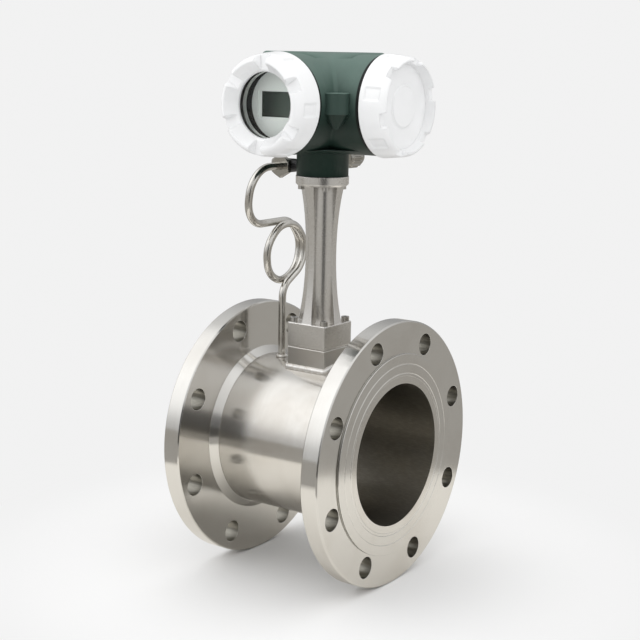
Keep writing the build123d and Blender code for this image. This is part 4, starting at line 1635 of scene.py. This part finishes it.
@dataclass
class Studio:
    """Pale table, studio surroundings and the camera."""

    floor_z: float = -0.14
    floor_rings: tuple[float, ...] = (0.25, 0.5, 1.0, 2.0, 4.0, 8.0, 12.0)
    floor_sides: int = 48
    centre: Pair = (0.10, 0.0)
    backdrop: float = 0.886
    card_level: float = 0.08
    low: float = 0.50
    high: float = 0.86
    rise: Pair = (0.10, 0.80)
    fill: float = 0.38
    patches: tuple[Patch, ...] = (
        Patch((-0.57, -0.45, 0.68), 24.0, 44.0, 0.55),
        Patch((-0.55, -0.82, 0.12), 25.0, 60.0, 0.20),
        Patch((0.85, -0.20, 0.45), 20.0, 60.0, 0.20),
        Patch((0.80, 0.60, 0.00), 20.0, 50.0, 0.18, True),
        Patch((-0.30, 1.00, 0.05), 35.0, 70.0, -0.12, True),
        Patch((0.69, -0.72, 0.08), 8.0, 16.0, -0.9, True),
    )
    camera_place: Triple = (0.92105, -1.15148, 0.40652)
    camera_right: Triple = (0.811447, 0.584138, 0.018365)
    camera_up: Triple = (-0.126962, 0.145519, 0.981175)
    camera_back: Triple = (0.570469, -0.798503, 0.192244)
    lens: float = 76.482
    film: float = 36.0
    nearest: float = 0.02

    def make_camera(self) -> None:
        """Camera at the angle that the photograph was taken from."""
        lens = bpy.data.cameras.new("camera")
        lens.lens = self.lens
        lens.sensor_width = self.film
        lens.clip_start = self.nearest
        camera = bpy.data.objects.new("camera", lens)
        turn = Matrix((self.camera_right, self.camera_up, self.camera_back)).transposed()
        camera.matrix_world = Matrix.Translation(self.camera_place) @ turn.to_4x4()
        bpy.context.scene.collection.objects.link(camera)
        bpy.context.scene.camera = camera

    def make_world(self) -> None:
        """Surroundings: a dim room with soft boxes, behind a pale backdrop."""
        world = bpy.data.worlds.new("studio")
        bpy.context.scene.world = world
        world.use_nodes = True
        graph = Graph(world.node_tree)
        place = {0: graph.place.outputs["Generated"]}
        facing = graph.add("ShaderNodeVectorMath", place, operation="NORMALIZE").outputs[0]
        upward = graph.parts(facing)[2]
        mirrored = graph.mirrored()
        light = graph.ramp(upward, *self.rise, self.low, self.high)
        for patch in self.patches:
            towards = tuple(Vector(patch.towards).normalized())
            dot = graph.vectors("DOT_PRODUCT", facing, towards).outputs["Value"]
            start, end = (math.cos(math.radians(angle)) for angle in (patch.outer, patch.inner))
            amount = graph.ramp(dot, start, end, 0.0, patch.strength)
            if patch.mirrored_only:
                amount = graph.times(amount, mirrored)
            light = graph.plus(light, amount)
        soft = graph.times(graph.minus(1.0, mirrored), self.fill)
        light = graph.plus(graph.maths("MAXIMUM", light, self.card_level), soft)
        seen = graph.either_ray("Is Camera Ray", "Is Transmission Ray")
        strength = graph.blend(seen, light, self.backdrop)
        inputs = {"Color": (1.0, 1.0, 1.0, 1.0), "Strength": strength}
        background = graph.add("ShaderNodeBackground", inputs)
        graph.add("ShaderNodeOutputWorld", {0: background.outputs[0]})

    def floor_mesh(self) -> bmesh.types.BMesh:
        """Round table top of rings that widen outwards.

        Returns:
            The mesh data.
        """
        shape = bmesh.new()
        hub = shape.verts.new((*self.centre, self.floor_z))
        loops = []
        for radius in self.floor_rings:
            loop = []
            for index in range(self.floor_sides):
                angle = 2.0 * math.pi * index / self.floor_sides
                x = self.centre[0] + radius * math.cos(angle)
                y = self.centre[1] + radius * math.sin(angle)
                loop.append(shape.verts.new((x, y, self.floor_z)))
            loops.append(loop)
        for index in range(self.floor_sides):
            following = (index + 1) % self.floor_sides
            shape.faces.new((hub, loops[0][index], loops[0][following]))
            for inner, outer in zip(loops, loops[1:]):
                shape.faces.new((inner[index], outer[index], outer[following], inner[following]))
        return shape

    def make(self) -> None:
        """Build the studio."""
        self.make_camera()
        self.make_world()
        paper = TableFinish("pale_table", self.centre, self.backdrop, self.card_level)
        add_mesh("table_top", self.floor_mesh(), paper.make())
        bpy.context.scene.view_settings.view_transform = "Standard"


def main() -> None:
    """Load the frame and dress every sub-assembly."""
    logging.basicConfig(level=logging.INFO, format="%(name)s: %(message)s", force=True)
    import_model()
    Studio().make()
    for part in (
        FlowTube(),
        SensorNeck(),
        Head(),
        ElectronicsPack(),
        TerminalSide(),
        PressureLine(),
        CableGland(),
    ):
        part.make()
        LOG.info("%s done", type(part).__name__)


if __name__ == "__main__":
    main()
